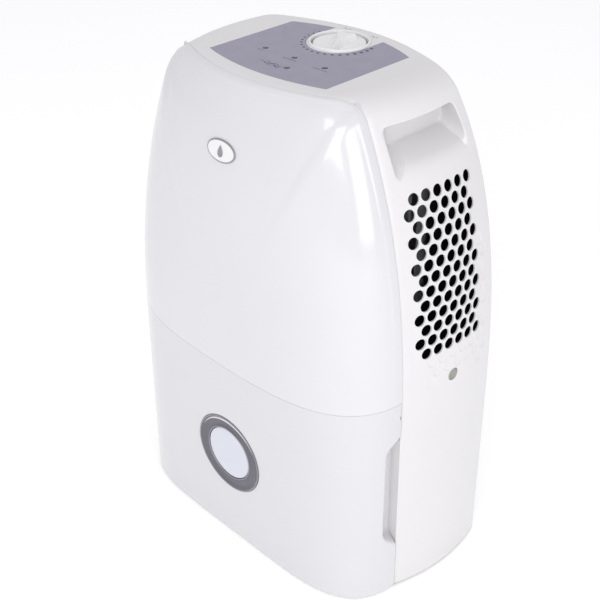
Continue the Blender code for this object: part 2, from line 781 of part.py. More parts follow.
def make_base():
    pan = box("base_pan", (-162 * MM, -20 * MM, PAN_LOW), (162 * MM, 76 * MM, PAN_HIGH), "dark")
    tongue = box("pan_tongue", (-118 * MM, -78 * MM, PAN_LOW), (118 * MM, -10 * MM, PAN_HIGH))
    add_boolean(pan, tongue, "UNION")
    for side in (1, -1):
        ends = sorted((side * 158 * MM, side * 161 * MM))
        rib = box("pan_rib", (ends[0], -18 * MM, 8 * MM), (ends[1], 74 * MM, 22 * MM))
        add_boolean(pan, rib, "UNION")
        for name, (x, y) in FEET.items():
            label = "right" if side > 0 else "left"
            cylinder(f"{name}_{label}", (side * x, y, 0), (0, 0, 1), 7 * MM, 6.2 * MM, "rubber", 20, 8 * MM)


def make_bulkhead():
    wall = box("bulkhead", (-155 * MM, BULKHEAD_Y, 10 * MM), (155 * MM, -21.5 * MM, 213 * MM), "white")
    plan = bucket_outline(140 * MM, 48 * MM, -22 * MM)
    roof = plate("tank_roof", plan, (0, 0, 212 * MM), (0, 0, 1), 2.5 * MM)
    add_boolean(wall, roof, "UNION")
    add_boolean(wall, cylinder("drip_hole", (-60 * MM, -50 * MM, 205 * MM), (0, 0, 1), 8 * MM, 20 * MM))
    box("reed_switch", (101 * MM, -21.1 * MM, 172 * MM), (119 * MM, -15 * MM, 188 * MM), "dark")

    place = (110 * MM, -45 * MM, 12.9 * MM)
    pin = [(0, 172 * MM), (5 * MM, 172 * MM), (5 * MM, 169 * MM), (2 * MM, 169 * MM), (2 * MM, 0), (0, 0)]
    turned("float_pin", pin, place, (0, 0, 1), "white", 12)
    ring = [
        (2.6 * MM, 38 * MM),
        (11 * MM, 38 * MM),
        (12 * MM, 36 * MM),
        (12 * MM, 8 * MM),
        (2.6 * MM, 8 * MM),
    ]
    turned("float", ring, place, (0, 0, 1), "foam", 20)
    disc = [(2.6 * MM, 42 * MM), (7 * MM, 42 * MM), (7 * MM, 38.4 * MM), (2.6 * MM, 38.4 * MM)]
    turned("float_magnet", disc, place, (0, 0, 1), "steel", 16)


def make_drain():
    tray = box("drip_tray", (-124 * MM, 32 * MM, 238 * MM), (124 * MM, 80 * MM, 254 * MM), "white")
    tools = [
        box("spout_run", (-66 * MM, -56 * MM, 230 * MM), (-54 * MM, 40 * MM, 245 * MM)),
        cylinder("spout", (-60 * MM, -50 * MM, 205 * MM), (0, 0, 1), 6 * MM, 30 * MM, sides=16),
        box("drain_run", (118 * MM, 19 * MM, 232 * MM), (161 * MM, 38 * MM, 247 * MM)),
    ]
    for tool in tools:
        add_boolean(tray, tool, "UNION")
    hollows = [
        box("tray_hollow", (-122 * MM, 34 * MM, 240 * MM), (122 * MM, 78 * MM, 260 * MM)),
        box("run_hollow", (-64 * MM, -54 * MM, 232 * MM), (-56 * MM, 35 * MM, 250 * MM)),
        cylinder("spout_bore", (-60 * MM, -50 * MM, 200 * MM), (0, 0, 1), 4 * MM, 40 * MM, sides=16),
        box("drain_hollow", (110 * MM, 21 * MM, 234 * MM), (170 * MM, 36 * MM, 256 * MM)),
    ]
    for hollow in hollows:
        add_boolean(tray, hollow)

    x = side_x(DRAIN.z) - waist(side_x(DRAIN.z), DRAIN.y)
    plug = [
        (0, 14 * MM),
        (PLUG_RADIUS - 0.8 * MM, 14 * MM),
        (PLUG_RADIUS, 13.2 * MM),
        (PLUG_RADIUS, 4 * MM),
        (3 * MM, 4 * MM),
        (3 * MM, 0),
        (0, 0),
    ]
    turned("drain_plug", plug, (x - 14.4 * MM, DRAIN.y, DRAIN.z), (1, 0, 0), "rubber", 24)


# ---------------------------------------------------------------- refrigeration and air path

def make_coil(name, low_y, high_y, fins, colour):
    """A finned block: a comb outline in plan, with fins front and back, extruded upwards."""
    near, far = [], []
    pitch = 2 * COIL_HALF / (2 * fins + 1)
    depth = 5 * MM
    for i in range(2 * fins + 1):
        left = -COIL_HALF + i * pitch
        sunk = 0 if i % 2 == 0 else depth
        near += [(left, low_y + sunk), (left + pitch, low_y + sunk)]
        far += [(left, high_y - sunk), (left + pitch, high_y - sunk)]
    plate(name, near + far[::-1], (0, 0, COIL_Z[0]), (0, 0, 1), COIL_Z[1] - COIL_Z[0], colour)


def make_cooling():
    make_coil("evaporator", 60 * MM, 78 * MM, 16, "aluminium")
    make_coil("condenser", 36 * MM, 54 * MM, 16, "aluminium")

    place = (-80 * MM, 30 * MM, 24.4 * MM)
    shell = [
        (0, 150 * MM),
        (22 * MM, 148 * MM),
        (38 * MM, 139 * MM),
        (46 * MM, 120 * MM),
        (46 * MM, 24 * MM),
        (40 * MM, 8 * MM),
        (26 * MM, 0),
        (0, 0),
    ]
    turned("compressor", shell, place, (0, 0, 1), "black_metal", 28)
    foot = box("compressor_foot", (-132 * MM, -8 * MM, 21 * MM), (-28 * MM, 68 * MM, 24 * MM), "steel")
    add_bevel(foot, 1 * MM)
    spots = {"left": (-122, 60), "right": (-38, 60), "front": (-80, 0)}
    for label, (gx, gy) in spots.items():
        start = (gx * MM, gy * MM, 9.8 * MM)
        cylinder(f"compressor_mount_{label}", start, (0, 0, 1), 9 * MM, 10.8 * MM, "rubber", 16, 7 * MM)
    cylinder("run_capacitor", (60 * MM, 30 * MM, 9.8 * MM), (0, 0, 1), 18 * MM, 76 * MM, "steel", 20)

    z = 24.4 * MM
    suction = [
        (-80, 30, 151),
        (-80, 30, 185),
        (-84, 30, 192),
        (-128, 30, 192),
        (-136, 34, 196),
        (-137, 64, 210),
        (-137, 69, 218),
        (-137, 69, 300),
        (-133, 69, 306),
        (-119.5, 69, 306),
    ]
    tube("suction_pipe", [(x * MM, y * MM, z + h * MM) for x, y, h in suction], 4 * MM, "copper")
    discharge = [
        (-127.5, 30, 100),
        (-142, 30, 100),
        (-147, 31, 106),
        (-147, 44, 200),
        (-147, 45, 330),
        (-142, 45, 336),
        (-119.5, 45, 336),
    ]
    tube("discharge_pipe", [(x * MM, y * MM, z + h * MM) for x, y, h in discharge], 3.2 * MM, "copper")
    middle = (80 * MM, 57 * MM)
    turns = [(middle[0], 43 * MM, 440 * MM), (middle[0], 43 * MM, 448 * MM)]
    for i in range(29):
        angle = math.radians(-90 + i * 45)
        x = middle[0] + 10 * MM * math.cos(angle)
        y = middle[1] + 10 * MM * math.sin(angle)
        turns.append((x, y, (450 + i * 0.65) * MM))
    turns += [(middle[0], 71.2 * MM, 468 * MM), (middle[0], 71.2 * MM, 440 * MM)]
    tube("capillary", turns, 1.3 * MM, "copper", 1)


def make_fan():
    cylinder("fan_shaft", FAN + Vector((0, -62 * MM, 0)), (0, 1, 0), 4.3 * MM, 74 * MM, "steel", 16)
    motor = [
        (4.8 * MM, 40 * MM),
        (14 * MM, 40 * MM),
        (34 * MM, 34 * MM),
        (36 * MM, 28 * MM),
        (36 * MM, 8 * MM),
        (30 * MM, 0),
        (4.8 * MM, 0),
    ]
    turned("fan_motor", motor, FAN + Vector((0, -66 * MM, 0)), (0, 1, 0), "steel", 24)

    blades = 22
    rim = []
    for i in range(blades):
        start = 360 / blades * i
        for radius, lead in ((56, 0), (66, 5), (66, 8), (56, 3)):
            angle = math.radians(start + lead)
            rim.append((radius * MM * math.cos(angle), radius * MM * math.sin(angle)))
    wheel = plate("fan_wheel", rim, FAN + Vector((0, -16 * MM, 0)), (0, 1, 0), 42 * MM, "dark")
    ahead = Vector((0, -MM, 0))
    forward = (0, 1, 0)
    eye = cylinder("wheel_eye", FAN + ahead * 12, forward, 58.5 * MM, 60 * MM, sides=44)
    disc = cylinder("wheel_disc", FAN + ahead * 18, forward, 67 * MM, 4 * MM, sides=44)
    hub = cylinder("wheel_hub", FAN + ahead * 17, forward, 10 * MM, 24 * MM)
    bore = cylinder("wheel_bore", FAN + ahead * 25, forward, 4.8 * MM, 50 * MM)
    add_boolean(wheel, eye)
    add_boolean(wheel, disc, "UNION")
    add_boolean(wheel, hub, "UNION")
    add_boolean(wheel, bore)


def scroll(grow, exit_x):
    """The fan's spiral in front view, with a straight outlet to exit_x on its right."""
    points = []
    for i in range(17):
        angle = math.radians(90 + 15 * i)
        radius = SCROLL_RADIUS + 12 * MM * i / 16 + grow
        points.append((FAN.x + radius * math.cos(angle), FAN.z + radius * math.sin(angle)))
    return points + [(exit_x, 270 * MM - grow), (exit_x, FAN.z + SCROLL_RADIUS + grow)]


def make_shroud():
    """The fan's spiral housing, widening into a duct as large as the outlet holes behind the right wall."""
    start = Vector((0, SHROUD_Y, 0))
    shroud = plate("fan_shroud", scroll(SHROUD_WALL, 133 * MM), start, (0, 1, 0), 55 * MM, "dark")
    duct = box("duct", DUCT_LOW, DUCT_HIGH)
    add_boolean(duct, hood_solid("duct_trim", SHELL + 1.5 * MM), "INTERSECT")
    add_boolean(shroud, duct, "UNION")
    wall = Vector((SHROUD_WALL, SHROUD_WALL, SHROUD_WALL))
    far = Vector((30 * MM, -SHROUD_WALL, -SHROUD_WALL))
    add_boolean(shroud, box("duct_space", DUCT_LOW + wall, DUCT_HIGH + far))
    inner = Vector((0, SHROUD_Y + SHROUD_WALL, 0))
    add_boolean(shroud, plate("scroll_space", scroll(0, 130 * MM), inner, (0, 1, 0), 70 * MM))
    opening = cylinder("shaft_opening", FAN + Vector((0, -30 * MM, 0)), (0, 1, 0), 9 * MM, 20 * MM)
    add_boolean(shroud, opening)


# ---------------------------------------------------------------- rear cover and grille

def cover_y(x, z):
    """y of the rear cover's outer face, a little inside the hood's back."""
    return rear_y(x + waist(x, 90 * MM), z) - COVER_SINK


def rear_rows(xs_of, heights):
    """Rows of points on the rear cover's outer face, left to right as seen from behind."""
    return [[(x, cover_y(x, z), z) for x in xs_of(z)] for z in heights]


def make_rear():
    shares = (1, 0.8, 0.55, 0.28, 0, -0.28, -0.55, -0.8, -1)
    heights = steps(12 * MM, 452 * MM, 6) + [468 * MM, 480 * MM]
    reach = [half_width(z) - 20 * MM for z in heights]
    widths = dict(zip(heights, reach))
    rows = rear_rows(lambda z: [s * widths[z] for s in shares], heights)
    cover = grid_surface("rear_cover", rows, "white", SHELL)
    opening = box(
        "grille_opening",
        (-GRILLE_HALF, 60 * MM, GRILLE_Z[0]),
        (GRILLE_HALF, 130 * MM, GRILLE_Z[1]),
    )
    add_boolean(cover, opening)

    half = GRILLE_HALF - GAP
    rows = rear_rows(
        lambda z: steps(half, -half, 9),
        (GRILLE_Z[0] + GAP, GRILLE_Z[1] - GAP),
    )
    grille = grid_surface("intake_grille", rows, "white", SHELL)
    slots = []
    for i in range(12):
        z = GRILLE_Z[0] + (11 + 14 * i) * MM
        for side in (1, -1):
            ends = sorted((side * 4 * MM, side * 92 * MM))
            slots.append(box("slot", (ends[0], 70 * MM, z - 4 * MM), (ends[1], 120 * MM, z + 4 * MM)))
    add_boolean(grille, join_meshes("grille_slots", slots))

    frame = box("air_filter", (-96 * MM, 80.4 * MM, 266 * MM), (96 * MM, 83 * MM, 434 * MM), "dark")
    windows = []
    for i in range(4):
        for j in range(3):
            low = (-92 * MM + i * 46.6 * MM, 78 * MM, 270 * MM + j * 54.4 * MM)
            windows.append(box("window", low, (low[0] + 44 * MM, 86 * MM, low[2] + 51 * MM)))
    screen = join_meshes("filter_windows", windows)
    add_boolean(frame, screen)

    screws = {
        "lower_left": (-120 * MM, 60 * MM),
        "lower_right": (120 * MM, 60 * MM),
        "upper_left": (-98 * MM, 452 * MM),
        "upper_right": (98 * MM, 452 * MM),
    }
    for label, (x, z) in screws.items():
        start = (x, cover_y(x, z) + 0.8 * MM, z)
        cylinder(f"cover_screw_{label}", start, (0, 1, 0), 3.6 * MM, 2 * MM, "steel", 12, 3 * MM)


clear_scene()
make_hood()
make_front_panel()
make_tank_front()
make_water_tank()
make_window()
make_badge()
make_top_controls()
make_base()
make_bulkhead()
make_drain()
make_cooling()
make_fan()
make_shroud()
make_rear()
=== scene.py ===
"""The look of the dehumidifier: fine shells, trims, finishes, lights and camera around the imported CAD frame.

Lengths are written as N * MM. The front faces -Y and +Z is up.
"""
import math

import bmesh
import bpy
import numpy as np
from mathutils import Matrix, Vector
from mathutils.geometry import delaunay_2d_cdt


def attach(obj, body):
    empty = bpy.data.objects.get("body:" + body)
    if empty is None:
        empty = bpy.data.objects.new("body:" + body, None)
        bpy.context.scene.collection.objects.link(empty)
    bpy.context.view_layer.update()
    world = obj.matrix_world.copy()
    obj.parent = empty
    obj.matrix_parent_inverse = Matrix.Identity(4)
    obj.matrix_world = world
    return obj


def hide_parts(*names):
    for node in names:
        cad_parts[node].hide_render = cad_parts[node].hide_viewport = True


MM = 0.001

# The casing's form, as in the CAD
HEIGHT = 500 * MM
FRONT = 98.2 * MM
REAR = 103 * MM
SEAM_Y = -31.7 * MM
FOOT_GAP = 2 * MM
TANK_LOW = 1 * MM
SHELL = 2.5 * MM
GAP = 0.5 * MM
BASE_HALF_WIDTH = 182.6 * MM
SIDE_TAPER = 0.008
CROWN_START = 160 * MM
CROWN_DROP = 56.5 * MM
CROWN_POWER = 2.9
SHOULDER_Z = 485 * MM
TOP_FLAT = 95 * MM
WIDEST_Y = 37 * MM
SIDE_RADIUS = 185 * MM
WAIST_FULL_X = 110 * MM  # the waist fades out towards the middle from here
TOP_NOSE = 28.5 * MM
NOSE_REACH = 105 * MM
DOME_Z = 250 * MM
FRONT_SQUARE = 4.1  # the power of the front's plan curve at the dome's height
FOOT_SQUARE = 1.3  # what the power gains at the foot
DOME_SOFT = 1.7  # what it loses at the top
FRONT_LEAN = 1.7 * MM
FRONT_INSET = 0.4 * MM
EDGE_BEVEL = 0.3 * MM
REAR_ROUND = 5 * MM
REAR_FLANGE = 20 * MM
REAR_BOW = 11.5 * MM
REAR_TOP_BOW = 22.5 * MM
SPLIT_Z = 232 * MM
SPLIT_BOW = 12 * MM
SPLIT_GAP = 0.3 * MM
SPLIT_FADE = 120 * MM

# Outlet grille
HOLE_PITCH = 12.88 * MM
HOLE_ROW = 11.94 * MM
HOLE_RADIUS = 5.5 * MM
HOLE_DIP = 1.3 * MM
DIP_FROM, DIP_LENGTH = 25 * MM, 38 * MM
HOLE_ROWS = 13
HOLES_IN_ROW = 6
FIRST_HOLE = (-14 * MM, 419.9 * MM)
DIMPLE_RADIUS = 5.4 * MM
DIMPLE_DEPTH = 0.45 * MM
FIRST_DIMPLE_ROW = 5
DIMPLE_END_Y = 74 * MM

# Controls and tank
DIAL = Vector((0, 58.8 * MM, HEIGHT))
WELL_RADIUS = 25.6 * MM
KNOB_RADIUS = 24.4 * MM
PANEL_HALF = 72 * MM
PANEL_X = -1.3 * MM
PANEL_SINK = 0.55 * MM
PANEL_FRONT_Y, PANEL_FRONT_CURVE = -43.6 * MM, 2.3
PANEL_BACK_Y, PANEL_BACK_CURVE = 88.7 * MM, -3.315
NOTCH_RADIUS = 29.4 * MM
LED_RADIUS = 2.3 * MM
LED_PLACES = {
    "led_power": (-38 * MM, 3.3 * MM),
    "led_running": (-1.3 * MM, 3.3 * MM),
    "led_tank_full": (35.4 * MM, 3.3 * MM),
    "led_defrost": (11.6 * MM, -18.7 * MM),
}
WINDOW_Z = 112 * MM
WINDOW_BACK_Y = -90 * MM
WINDOW_RADIUS = 44.5 * MM
LENS_RADIUS = 29 * MM
DRAIN_Y, DRAIN_Z = 24.7 * MM, 240.4 * MM
PLUG_RADIUS = 5.8 * MM
BADGE_Z = 441 * MM

# The handle pocket: the corners of its mouth and of its back wall as (y, z)
POCKET_MOUTH = [(73 * MM, 436 * MM), (60.5 * MM, 481.5 * MM), (-24 * MM, 479.5 * MM), (-21 * MM, 434 * MM)]
POCKET_BACK = [(68 * MM, 456 * MM), (65 * MM, 480 * MM), (-6 * MM, 480 * MM), (-6 * MM, 456 * MM)]
POCKET_BACK_X = 112 * MM
POCKET_CORNER = 8 * MM
POCKET_LIP = 1.6 * MM
POCKET_LOW_LIP = 7 * MM  # how much softer the lip is along the pocket's lower edge


# ---------------------------------------------------------------- the casing's form

def bend(a, b, c, t):
    """A point on the curve that leaves a towards b and arrives at c."""
    return a.lerp(b, t).lerp(b.lerp(c, t), t)


def side_x(z):
    """Half of the casing's width at a height, or at an array of them."""
    crown = np.maximum(0, z - CROWN_START) / (HEIGHT - CROWN_START)
    return BASE_HALF_WIDTH - SIDE_TAPER * z - CROWN_DROP * crown**CROWN_POWER


def shoulder(share):
    """x, z on the round between the side, at share 0, and the flat top, at share 1."""
    low = Vector((side_x(SHOULDER_Z), SHOULDER_Z))
    lean = (side_x(SHOULDER_Z + MM) - side_x(SHOULDER_Z - MM)) / (2 * MM)
    corner = Vector((low.x + lean * (HEIGHT - SHOULDER_Z), HEIGHT))
    high = Vector((TOP_FLAT, HEIGHT))
    return bend(low, corner, high, share)


def waist(x, y):
    """How far the side at x, y lies inside its widest plane."""
    reach = max(y, SEAM_Y) - WIDEST_Y
    return math.copysign(1, x) * min(1, abs(x) / WAIST_FULL_X) * reach**2 / (2 * SIDE_RADIUS)


def front_edge(x, z):
    """y of the hood's front edge at a point of its outline, or at arrays of them."""
    nose = TOP_NOSE * np.maximum(0, 1 - (x / NOSE_REACH) ** 2)
    return SEAM_Y - np.where(z < SHOULDER_Z, 0, nose)


def rear_y(x, z):
    drop = REAR_BOW + REAR_TOP_BOW * (z / HEIGHT) ** 8
    return REAR - drop * (x / side_x(z)) ** 2


def split_z(x):
    return SPLIT_Z - SPLIT_BOW * max(0.0, 1 - (x / side_x(SPLIT_Z)) ** 2)


class Outline:
    """The hood's front-elevation outline by its length s from the middle of the top, right side positive."""

    def __init__(self):
        points = [Vector((0, HEIGHT)), Vector((TOP_FLAT * 0.5, HEIGHT))]
        round_steps, side_steps = 96, 240
        points += [shoulder(1 - i / round_steps) for i in range(round_steps + 1)]
        for i in range(1, side_steps + 1):
            z = SHOULDER_Z + (FOOT_GAP - SHOULDER_Z) * i / side_steps
            points.append(Vector((side_x(z), z)))
        lengths = [0.0]
        for a, b in zip(points, points[1:]):
            lengths.append(lengths[-1] + (b - a).length)
        self.s = np.array(lengths)
        self.x = np.array([p.x for p in points])
        self.z = np.array([p.y for p in points])
        self.length = lengths[-1]
        self.shoulder_s = float(np.interp(-SHOULDER_Z, -self.z, self.s))

    def at(self, s):
        """x, z and the inward normal's x and z."""
        a = min(abs(s), self.length)
        step = 1.0 * MM
        x, z = np.interp(a, self.s, self.x), np.interp(a, self.s, self.z)
        low, high = max(0.0, a - step), min(self.length, a + step)
        tx = np.interp(high, self.s, self.x) - np.interp(low, self.s, self.x)
        tz = np.interp(high, self.s, self.z) - np.interp(low, self.s, self.z)
        size = math.hypot(tx, tz)
        side = -1.0 if s < 0 else 1.0
        return side * x, z, side * tz / size, -tx / size

    def s_of_z(self, z):
        return float(np.interp(-z, -self.z[2:], self.s[2:]))


OUTLINE = Outline()
HOOD_WALL = 1.8 * MM
EDGE_ROUND = 1.3 * MM
EDGE_ROLL = 6 * MM  # the hood's front edge rolls in by EDGE_ROUND over this length
REAR_BASE = 86 * MM
FRONT_SHIFT_REACH = 90 * MM  # how far back the front edge's shape is felt
WRAP_END = REAR_BASE + REAR_ROUND * math.pi / 2 + REAR_FLANGE


def smooth(t):
    t = min(1.0, max(0.0, t))
    return t * t * (3 - 2 * t)


def hood_shifts(s):
    """How far the hood's front edge and the start of its rear round lie from SEAM_Y and REAR_BASE at s."""
    x, z, _, _ = OUTLINE.at(s)
    front = front_edge(x - waist(x, SEAM_Y), z)
    return front - SEAM_Y, rear_y(x, z) - REAR_ROUND - REAR_BASE


def unwarp(s, w):
    """y on the hood for the flat coordinate w, in which both of the hood's edges are straight."""
    front, rear = hood_shifts(s)
    return w + front * (1 - smooth((w - SEAM_Y) / FRONT_SHIFT_REACH)) + rear * smooth(w / REAR_BASE)


def warp(s, y):
    """The flat coordinate w for y on the hood."""
    low, high = SEAM_Y, REAR_BASE + REAR_FLANGE
    for _ in range(40):
        middle = (low + high) / 2
        low, high = (middle, high) if unwarp(s, middle) < y else (low, middle)
    return low


def rounding(depth, radius):
    """How far an edge's round pulls the surface in at a depth from the edge."""
    t = max(0.0, radius - depth) / radius
    return radius * (1 - math.sqrt(max(0.0, 1 - t * t)))


def hood_point(s, w, sink=0.0):
    """The hood's surface at s round its outline and flat coordinate w from front to back."""
    x, z, nx, nz = OUTLINE.at(s)
    roll = rounding(w - SEAM_Y, EDGE_ROLL) * EDGE_ROUND / EDGE_ROLL
    edge = roll + rounding(OUTLINE.length - abs(s), 2 * EDGE_ROUND)
    inset = max(sink, edge)
    turn = max(0.0, w - REAR_BASE)
    angle = min(math.pi / 2, turn / REAR_ROUND)
    if turn:
        extra = max(0.0, turn - REAR_ROUND * math.pi / 2)
        inset = REAR_ROUND - (REAR_ROUND - inset) * math.cos(angle) + extra
    px, pz = x + nx * inset, z + nz * inset
    if turn:
        y = rear_y(px, pz) - REAR_ROUND + (REAR_ROUND - sink) * math.sin(angle)
    else:
        y = unwarp(s, w)
    return Vector((px - waist(px, y), y, max(pz, FOOT_GAP)))


# ---------------------------------------------------------------- mesh helpers

def link(obj):
    bpy.context.scene.collection.objects.link(obj)
    return obj


def make_object(name, points, faces, material, sharp=35):
    mesh = bpy.data.meshes.new(name)
    mesh.from_pydata([tuple(p) for p in points], [], faces)
    mesh.validate()
    mesh.materials.append(material)
    obj = link(bpy.data.objects.new(name, mesh))
    finish_mesh(obj, sharp)
    return obj


def apply_modifiers(obj):
    graph = bpy.context.evaluated_depsgraph_get()
    baked = bpy.data.meshes.new_from_object(obj.evaluated_get(graph), depsgraph=graph)
    obj.modifiers.clear()
    obj.data = baked


def turn_outwards(obj, merge=True):
    """Merges points that coincide, where asked, and turns every face outwards."""
    bm = bmesh.new()
    bm.from_mesh(obj.data)
    if merge:
        bmesh.ops.remove_doubles(bm, verts=bm.verts, dist=1e-6)
    bmesh.ops.recalc_face_normals(bm, faces=bm.faces)
    bm.to_mesh(obj.data)
    bm.free()


def band(first, second):
    """Faces between two closed rows of point numbers."""
    nexts = [(i, (i + 1) % len(first)) for i in range(len(first))]
    return [(first[i], first[j], second[j], second[i]) for i, j in nexts]


def finish_mesh(obj, sharp=35):
    """Applies the modifiers, then smooths every edge flatter than sharp degrees."""
    if obj.modifiers:
        apply_modifiers(obj)
    obj.data.shade_smooth()
    obj.data.set_sharp_from_angle(angle=math.radians(sharp))


def inside(points, loop):
    """Which of the 2-D points lie inside the closed loop."""
    x, y = points[:, 0], points[:, 1]
    found = np.zeros(len(points), bool)
    for (x0, y0), (x1, y1) in zip(loop, np.roll(loop, -1, axis=0)):
        crosses = (y0 > y) != (y1 > y)
        with np.errstate(divide="ignore", invalid="ignore"):
            at = (x1 - x0) * (y - y0) / (y1 - y0) + x0
        found ^= crosses & (x < at)
    return found


def turned_left(loop):
    """The loop, running anticlockwise."""
    loop = np.array(loop)
    after = np.roll(loop, -1, axis=0)
    area = (loop[:, 0] * after[:, 1] - after[:, 0] * loop[:, 1]).sum()
    return loop if area > 0 else loop[::-1]


def grown(loop, distance):
    """An anticlockwise loop moved outwards by a distance."""
    along = np.roll(loop, -1, axis=0) - np.roll(loop, 1, axis=0)
    along /= np.maximum(1e-12, np.hypot(along[:, 0], along[:, 1]))[:, None]
    return loop + distance * np.stack([along[:, 1], -along[:, 0]], axis=1)


def triangulate(outer, holes, grid, clear):
    """Points, triangles and each loop's point numbers, over the outer loop less the holes. Grid points
    nearer than clear to a hole's edge are left out."""
    loops = [outer] + holes
    grid = np.array(grid)
    for loop in holes:
        low, high = loop.min(axis=0) - clear, loop.max(axis=0) + clear
        near = np.where(np.all((grid > low) & (grid < high), axis=1))[0]
        part = grid[near]
        gaps = np.hypot(part[:, None, 0] - loop[None, :, 0], part[:, None, 1] - loop[None, :, 1])
        drop = inside(part, loop) | (gaps.min(axis=1) < clear if len(part) else False)
        grid = np.delete(grid, near[drop], axis=0)
    points = np.vstack(loops + [grid])
    edges, start = [], 0
    for loop in loops:
        count = len(loop)
        edges += [(start + i, start + (i + 1) % count) for i in range(count)]
        start += count
    made = delaunay_2d_cdt([Vector(p) for p in points.tolist()], edges, [], 0, 1e-8)
    flat = np.array([tuple(p) for p in made[0]])
    number = {}
    for i, originals in enumerate(made[3]):
        for original in originals:
            number[original] = i
    numbers, start = [], 0
    for loop in loops:
        numbers.append([number[start + i] for i in range(len(loop))])
        start += len(loop)
    faces = [tuple(f) for f in made[2]]
    middles = np.array([flat[list(f)].mean(axis=0) for f in faces])
    good = inside(middles, outer)
    for loop in holes:
        low, high = loop.min(axis=0), loop.max(axis=0)
        near = np.where(np.all((middles > low) & (middles < high), axis=1))[0]
        good[near[inside(middles[near], loop)]] = False
    return flat, [f for f, g in zip(faces, good) if g], numbers


LIP = 0.4 * MM  # the radius that rounds a hole's edge
CLEAR = 1.2 * MM  # how far a shell's grid points stay from its holes


def lip_rings(radius, thickness):
    """(grow, sink) pairs that carry a wall round both edges of a hole."""
    rings = []
    for degrees in (30, 60, 90):
        angle = math.radians(degrees)
        rings.append((radius * math.sin(angle), radius * (1 - math.cos(angle))))
    return rings + [(g, thickness - s) for g, s in reversed(rings)]


def make_shell(name, outer, holes, grid, place, thickness, material, sunk=None, liners=()):
    """A wall between place(u, v, 0) and place(u, v, thickness). Holes are (loop, lip radius) pairs, and a
    liner is (loop, outer rings, inner rings) of a pocket that closes its own hole. The outer loop is closed
    by a plain wall."""
    loops = [turned_left(parts[0]) for parts in [*holes, *liners]]
    flat, faces, numbers = triangulate(turned_left(outer), loops, grid, CLEAR)
    count = len(flat)
    points = [place(u, v, sunk(u, v) if sunk else 0.0) for u, v in flat]
    points += [place(u, v, thickness) for u, v in flat]
    made = faces + [tuple(i + count for i in reversed(f)) for f in faces]
    behind = [[i + count for i in used] for used in numbers]

    def climb(last, rings):
        """Adds rings of points with a band before each one, and gives the last one's point numbers."""
        for ring_points in rings:
            now = range(len(points), len(points) + len(ring_points))
            points.extend(ring_points)
            made.extend(band(last, now))
            last = now
        return last

    made += band(numbers[0], behind[0])
    for loop, (_, lip), used, back in zip(loops, holes, numbers[1:], behind[1:]):
        lips = lip_rings(lip, thickness) if lip else []
        last = climb(used, [[place(u, v, sink) for u, v in grown(loop, -grow)] for grow, sink in lips])
        made += band(last, back)
    first = 1 + len(holes)
    for (_, front_rings, back_rings), used, back in zip(liners, numbers[first:], behind[first:]):
        for start, rings in ((used, front_rings), (back, back_rings)):
            last = climb(start, rings)
            middle = len(points)
            points.append(sum((Vector(points[i]) for i in last), Vector()) / len(last))
            made += [(last[i], last[(i + 1) % len(last)], middle) for i in range(len(last))]
    obj = make_object(name, points, made, material)
    close_up(obj)
    return obj


def close_up(obj, sharp=38):
    """Merges what coincides, turns every face outwards and weights the normals by face area."""
    turn_outwards(obj)
    finish_mesh(obj, sharp)
    weighted = obj.modifiers.new("normals", "WEIGHTED_NORMAL")
    weighted.keep_sharp = True
    apply_modifiers(obj)


def angles(count):
    """Even steps round a full turn."""
    return [2 * math.pi * i / count for i in range(count)]


def ring(centre, radius, count):
    return [(centre[0] + radius * math.cos(a), centre[1] + radius * math.sin(a)) for a in angles(count)]


def spread(values):
    """The values in order, each one once."""
    return sorted(set(round(v, 7) for v in values))


def loft(name, rows, material, closed=False, sharp=35):
    """A skin over closed rows of points, with a flat cap at each end where asked."""
    count = len(rows[0])
    numbers = [range(r * count, (r + 1) * count) for r in range(len(rows))]
    faces = []
    for first, second in zip(numbers, numbers[1:]):
        faces += band(first, second)
    if closed:
        faces += [tuple(reversed(numbers[0])), tuple(numbers[-1])]
    return make_object(name, [p for row in rows for p in row], faces, material, sharp)


def turned(name, profile, place, axis, material, count):
    """A profile of (radius, height) turned about an axis through place, in count steps."""
    rotate = Vector((0, 0, 1)).rotation_difference(Vector(axis)).to_matrix()
    rows = []
    for radius, height in profile:
        rows.append([Vector(place) + rotate @ Vector((x, y, height)) for x, y in ring((0, 0), radius, count)])
    obj = loft(name, rows, material)
    turn_outwards(obj)
    finish_mesh(obj)
    return obj


# ---------------------------------------------------------------- finishes

